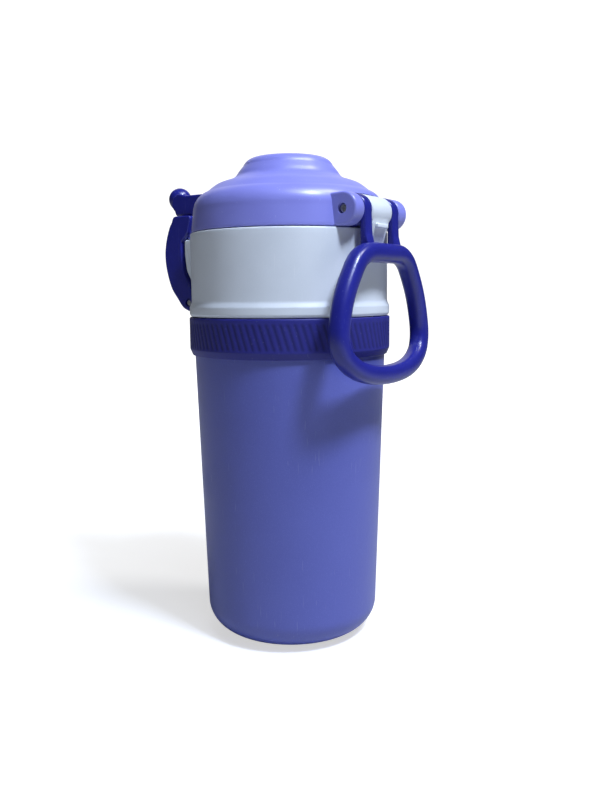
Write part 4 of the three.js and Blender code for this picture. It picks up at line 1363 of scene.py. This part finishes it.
def lever_outline():
    """Up the outer line, over the top, down the inner line and round the tail."""
    inner = BOSS_X - 0.6
    outer_line = spline(np.array([
        (LATCH_X, LATCH_Z - LEVER_TAIL), (LATCH_X - 3.0, LATCH_Z - 1.9),
        (LATCH_X - 5.9, latch_at(0.045)), (LATCH_X - 9.3, latch_at(0.18)),
        (LATCH_X - 11.7, latch_at(0.39)), (LATCH_X - 12.3, latch_at(0.57)),
        (LATCH_X - 11.4, latch_at(0.73)), (LATCH_X - 9.6, latch_at(0.87)),
        (LATCH_X - 8.2, LEVER_TOP - 2.4),
    ]), 60)
    inner_line = spline(np.array([
        (inner - 0.3, BOSS_TOP - 0.8), (inner - 0.4, latch_at(0.6)), (inner + 0.2, latch_at(0.37)),
        (inner + 3.4, latch_at(0.18)), (LATCH_X + LEVER_TAIL, LATCH_Z + 2),
    ]), 40)
    top = rounded([
        tuple(outer_line[-1]) + (0,), (LATCH_X - 7.2, LEVER_TOP, 1.6),
        (-(COLLAR_RADIUS + 2.8), LEVER_TOP, 1.3), (-(COLLAR_RADIUS + 4.8), BOSS_TOP + 2.8, 3.0),
        (-(COLLAR_RADIUS + 6.8), BOSS_TOP + 0.6, 1.6), tuple(inner_line[0]) + (0,),
    ], closed=False, steps=4)
    tail = arc(LATCH_X, LATCH_Z, LEVER_TAIL, 0, -85, 8)
    return np.vstack([outer_line[:-1], top, inner_line[1:], tail])


slot_half = LUG_HALF + GAP + 0.2
latch_arm = slab("latch_arm", dense(lever_outline(), 1.5), LATCH_HALF, edge=0.6, steps=5)
tab_room = block("tab_room", BOSS_X - 0.9, 0, TAB_HALF + GAP, BOSS_TOP - 1, LEVER_TOP + 1)
slot = join(
    bar("slot", LATCH_X, LATCH_Z, LEVER_TAIL + 0.02, slot_half, edge=0),
    block("slot_room", LATCH_X, LATCH_X + 9, slot_half, LATCH_Z - 5, LATCH_Z + 5.6),
)
cut(
    latch_arm, slot, tab_room,
    bar("latch_bore", LATCH_X, LATCH_Z, LATCH_BORE, LATCH_HALF + 2, edge=0, count=24),
)
fit(latch_arm, "latch", "navy_plastic", navy_plastic, "latch_lever")

# %% [markdown]
# The two pins are turned steel with a small chamfer. The hinge pin ends a little below the face
# of each lavender knuckle, so it shows as a small dark recess with a bright end.

# %% Pins
hinge_rod = bar("hinge_rod", HINGE_X, HINGE_Z, BORE - GAP, pin_high[1], edge=0.3, count=40)
fit(hinge_rod, "collar", "steel", steel, "hinge_pin")
latch_rod = bar("latch_rod", LATCH_X, LATCH_Z, LATCH_BORE - GAP, rod_high[1], edge=0.25, count=32)
fit(latch_rod, "collar", "steel", steel, "latch_pin")

# %% [markdown]
# The carry loop is a rounded bar bent into a pear-shaped loop, which hangs from two ears on the
# hinge pin and leans out a little. Its path is one closed curve through points that give the
# half width at each share of its height, and the section is carried along it. The ears' legs
# run down into the top bar.

# %% Carry loop
LOOP_THICKNESS = 7.0
LOOP_OUT, LOOP_DROP, LOOP_LEAN, LOOP_HEIGHT = 6.3, 14.9, 0.045, 43.6
LOOP_WAIST, LOOP_BELLY = 22.6, 30.2
LOOP_WRAP = 1.8  # the widest part curves back round the bottle by this
LOOP_SQUARE = 2.5  # 2 is a round section, more is squarer
LOOP_SIDES = 40  # points round the section


def loop_path(count=220):
    """Half widths against shares of the drop, mirrored, as a closed curve in the loop's plane."""
    half = np.array([
        (0.0, 0), (0.4 * LOOP_WAIST, 0), (0.58 * LOOP_WAIST, 0.012), (0.74 * LOOP_WAIST, 0.048),
        (0.86 * LOOP_WAIST, 0.1), (LOOP_WAIST, 0.197), (LOOP_BELLY - 4.5, 0.31),
        (LOOP_BELLY - 2.3, 0.422), (LOOP_BELLY - 0.8, 0.537), (LOOP_BELLY, 0.651),
        (LOOP_BELLY - 0.6, 0.75), (LOOP_BELLY - 3.2, 0.845), (LOOP_BELLY - 9.4, 0.93),
        (LOOP_BELLY - 18.3, 0.982), (0.0, 1),
    ])
    other = half[-2:0:-1] * (-1, 1)
    y, share = spline(np.vstack([half, other]), count, closed=True).T
    drop = share * LOOP_HEIGHT
    out = LOOP_OUT + LOOP_LEAN * drop - LOOP_WRAP * (y / LOOP_BELLY) ** 2
    return np.column_stack([HINGE_X + out, y, HINGE_Z - LOOP_DROP - drop])


def loop_bar():
    """The section x = |cos t|^(2/k) sign, y = |sin t|^(2/k) sign, with k for its squareness."""
    path = loop_path()
    along = np.roll(path, -1, 0) - np.roll(path, 1, 0)
    along /= np.linalg.norm(along, axis=1, keepdims=True)
    face = np.array([1, 0, LOOP_LEAN]) / math.hypot(1, LOOP_LEAN)
    side = np.cross(face, along)
    t = np.arange(LOOP_SIDES) * 2 * math.pi / LOOP_SIDES
    circle = np.array([np.cos(t), np.sin(t)])
    section = np.sign(circle) * np.abs(circle) ** (2 / LOOP_SQUARE) * LOOP_THICKNESS / 2
    out, wide = section[:, None, :, None]
    rings = path[:, None] + out * face + wide * side[:, None]
    return skin("carrying_loop", rings, "loop")


def ear(side):
    """A ring round the pin and a leg down to the loop's top bar."""
    half = EAR_WIDTH / 2
    middle = side * (EAR_INNER + half)
    foot, front, back = HINGE_Z - LOOP_DROP - 0.6, HINGE_X + KNUCKLE_RADIUS, COLLAR_RADIUS + 0.7
    leg = rounded([
        (back, foot, 0), (HINGE_X + LOOP_OUT + 1.7, foot, 0), (front + 0.35, HINGE_Z - 8.5, 5.0),
        (front - 0.05, HINGE_Z, 0), (HINGE_X, HINGE_Z + 1.0, 0), (back, HINGE_Z - 4.3, 0),
    ])
    ring = bar("ear", HINGE_X, HINGE_Z, KNUCKLE_RADIUS, half, middle, edge=0.7)
    return join(ring, slab("leg", leg, half, middle, edge=1.0))


carrying_loop = join(loop_bar(), ear(1), ear(-1))
cut(carrying_loop, bar("pin_bore", HINGE_X, HINGE_Z, BORE, EAR_OUTER + 1, edge=0, count=32))
fit(carrying_loop, "loop", "navy_plastic", navy_plastic, "carry_loop")

# %% [markdown]
# The stage is a plain pale floor that runs on to the horizon. A studio backdrop is lit by itself
# and is brighter than the light on the object alone would make it, so the floor glows where the
# camera sees it: a little beside the bottle, where shadows still have to show, and fully far
# away, where it meets the white sky without a line. The glow lights nothing else.

# %% Floor
FLOOR_REACH = 4000.0
FLOOR_TONES = (0.58, 0.58, 0.58), (0.60, 0.60, 0.60)
FLOOR_GLOW = (0.60, 1.0)  # beside the bottle and far from it
GLOW_RANGE = (0.10, 0.70)  # distances in metres between which the glow grows
floor = make(
    "floor", FLOOR_REACH * np.array([[-1, -1, 0], [1, -1, 0], [1, 1, 0], [-1, 1, 0]]),
    [[0, 1, 2, 3]],
)
floor_material, floor_tree, floor_shader = blank_material("pale_floor")
floor_shader.inputs["Roughness"].default_value = 0.75
floor_cloud = noise(floor_tree, place_of(floor_tree), 3.0, 2.0)
floor_tone = mix_colour(floor_tree, floor_cloud, *FLOOR_TONES)
floor_tree.links.new(floor_tone, floor_shader.inputs["Base Color"])
floor_shader.inputs["Emission Color"].default_value = (1, 1, 1, 1)
seen = floor_tree.nodes.new("ShaderNodeLightPath")
reach = floor_tree.nodes.new("ShaderNodeVectorMath")
reach.operation = "LENGTH"
floor_tree.links.new(place_of(floor_tree), reach.inputs[0])
glow = spread(floor_tree, reach.outputs["Value"], *GLOW_RANGE, *FLOOR_GLOW)
floor_tree.links.new(
    math_node(floor_tree, "MULTIPLY", seen.outputs["Is Camera Ray"], glow),
    floor_shader.inputs["Emission Strength"],
)
floor.data.materials.append(floor_material)
print("the floor glows from", FLOOR_GLOW[0], "to", FLOOR_GLOW[1])

# %% [markdown]
# A small cool window high on the right gives the crisp highlights, a larger soft one overhead
# lifts the top, and a wide dim one behind the bottle keeps its far edge from going dark. A high
# sun from the right, a few degrees wide, draws the long pale shadow. The sky is white where the
# camera sees it and almost dark as a light, or it would wash every shape out.

# %% Lights
LIGHT_TARGET = Vector((0, 0, 0.1))
SUN_ANGLE = math.radians(12)
WORLD_SEEN, WORLD_LIGHT = 1.15, 0.04


def add_light(name, kind, azimuth, elevation, distance, power, colour=(1, 1, 1)):
    """A light that shines at the bottle from a distance in metres. Azimuth is measured from the
    camera's side, positive to the right, and elevation from the floor, both in degrees."""
    data = bpy.data.lights.new(name, kind)
    data.energy = power
    data.color = colour
    turn, lift = CAMERA_AZIMUTH + math.radians(azimuth), math.radians(elevation)
    flat = math.cos(lift)
    back = Vector((math.sin(turn) * flat, -math.cos(turn) * flat, math.sin(lift)))
    light = bpy.data.objects.new(name, data)
    light.location = LIGHT_TARGET + back * distance
    light.rotation_euler = (-back).to_track_quat("-Z", "Y").to_euler()
    bpy.context.scene.collection.objects.link(light)
    return data


for name, azimuth, elevation, distance, size, power, colour in (
    ("window", 40, 58, 0.9, 0.13, 7.0, (0.78, 0.90, 1.14)),
    ("back_fill", 185, 28, 1.5, 1.3, 3.0, (1.0, 0.98, 0.95)),
    ("overhead", 30, 66, 1.1, 0.5, 3.6, (0.84, 0.94, 1.10)),
):
    window = add_light(name, "AREA", azimuth, elevation, distance, power, colour)
    window.shape = "SQUARE"
    window.size = size
add_light("high_sun", "SUN", 84, 58.663, 0, 1.0).angle = SUN_ANGLE

world = bpy.data.worlds.new("studio")
bpy.context.scene.world = world
world.use_nodes = True
sky_tree = world.node_tree
sky = sky_tree.nodes["Background"]
ray = sky_tree.nodes.new("ShaderNodeLightPath")
strength = math_node(
    sky_tree, "MULTIPLY_ADD", ray.outputs["Is Camera Ray"], WORLD_SEEN - WORLD_LIGHT, WORLD_LIGHT
)
sky_tree.links.new(strength, sky.inputs["Strength"])
sky.inputs["Color"].default_value = (1, 1, 1, 1)
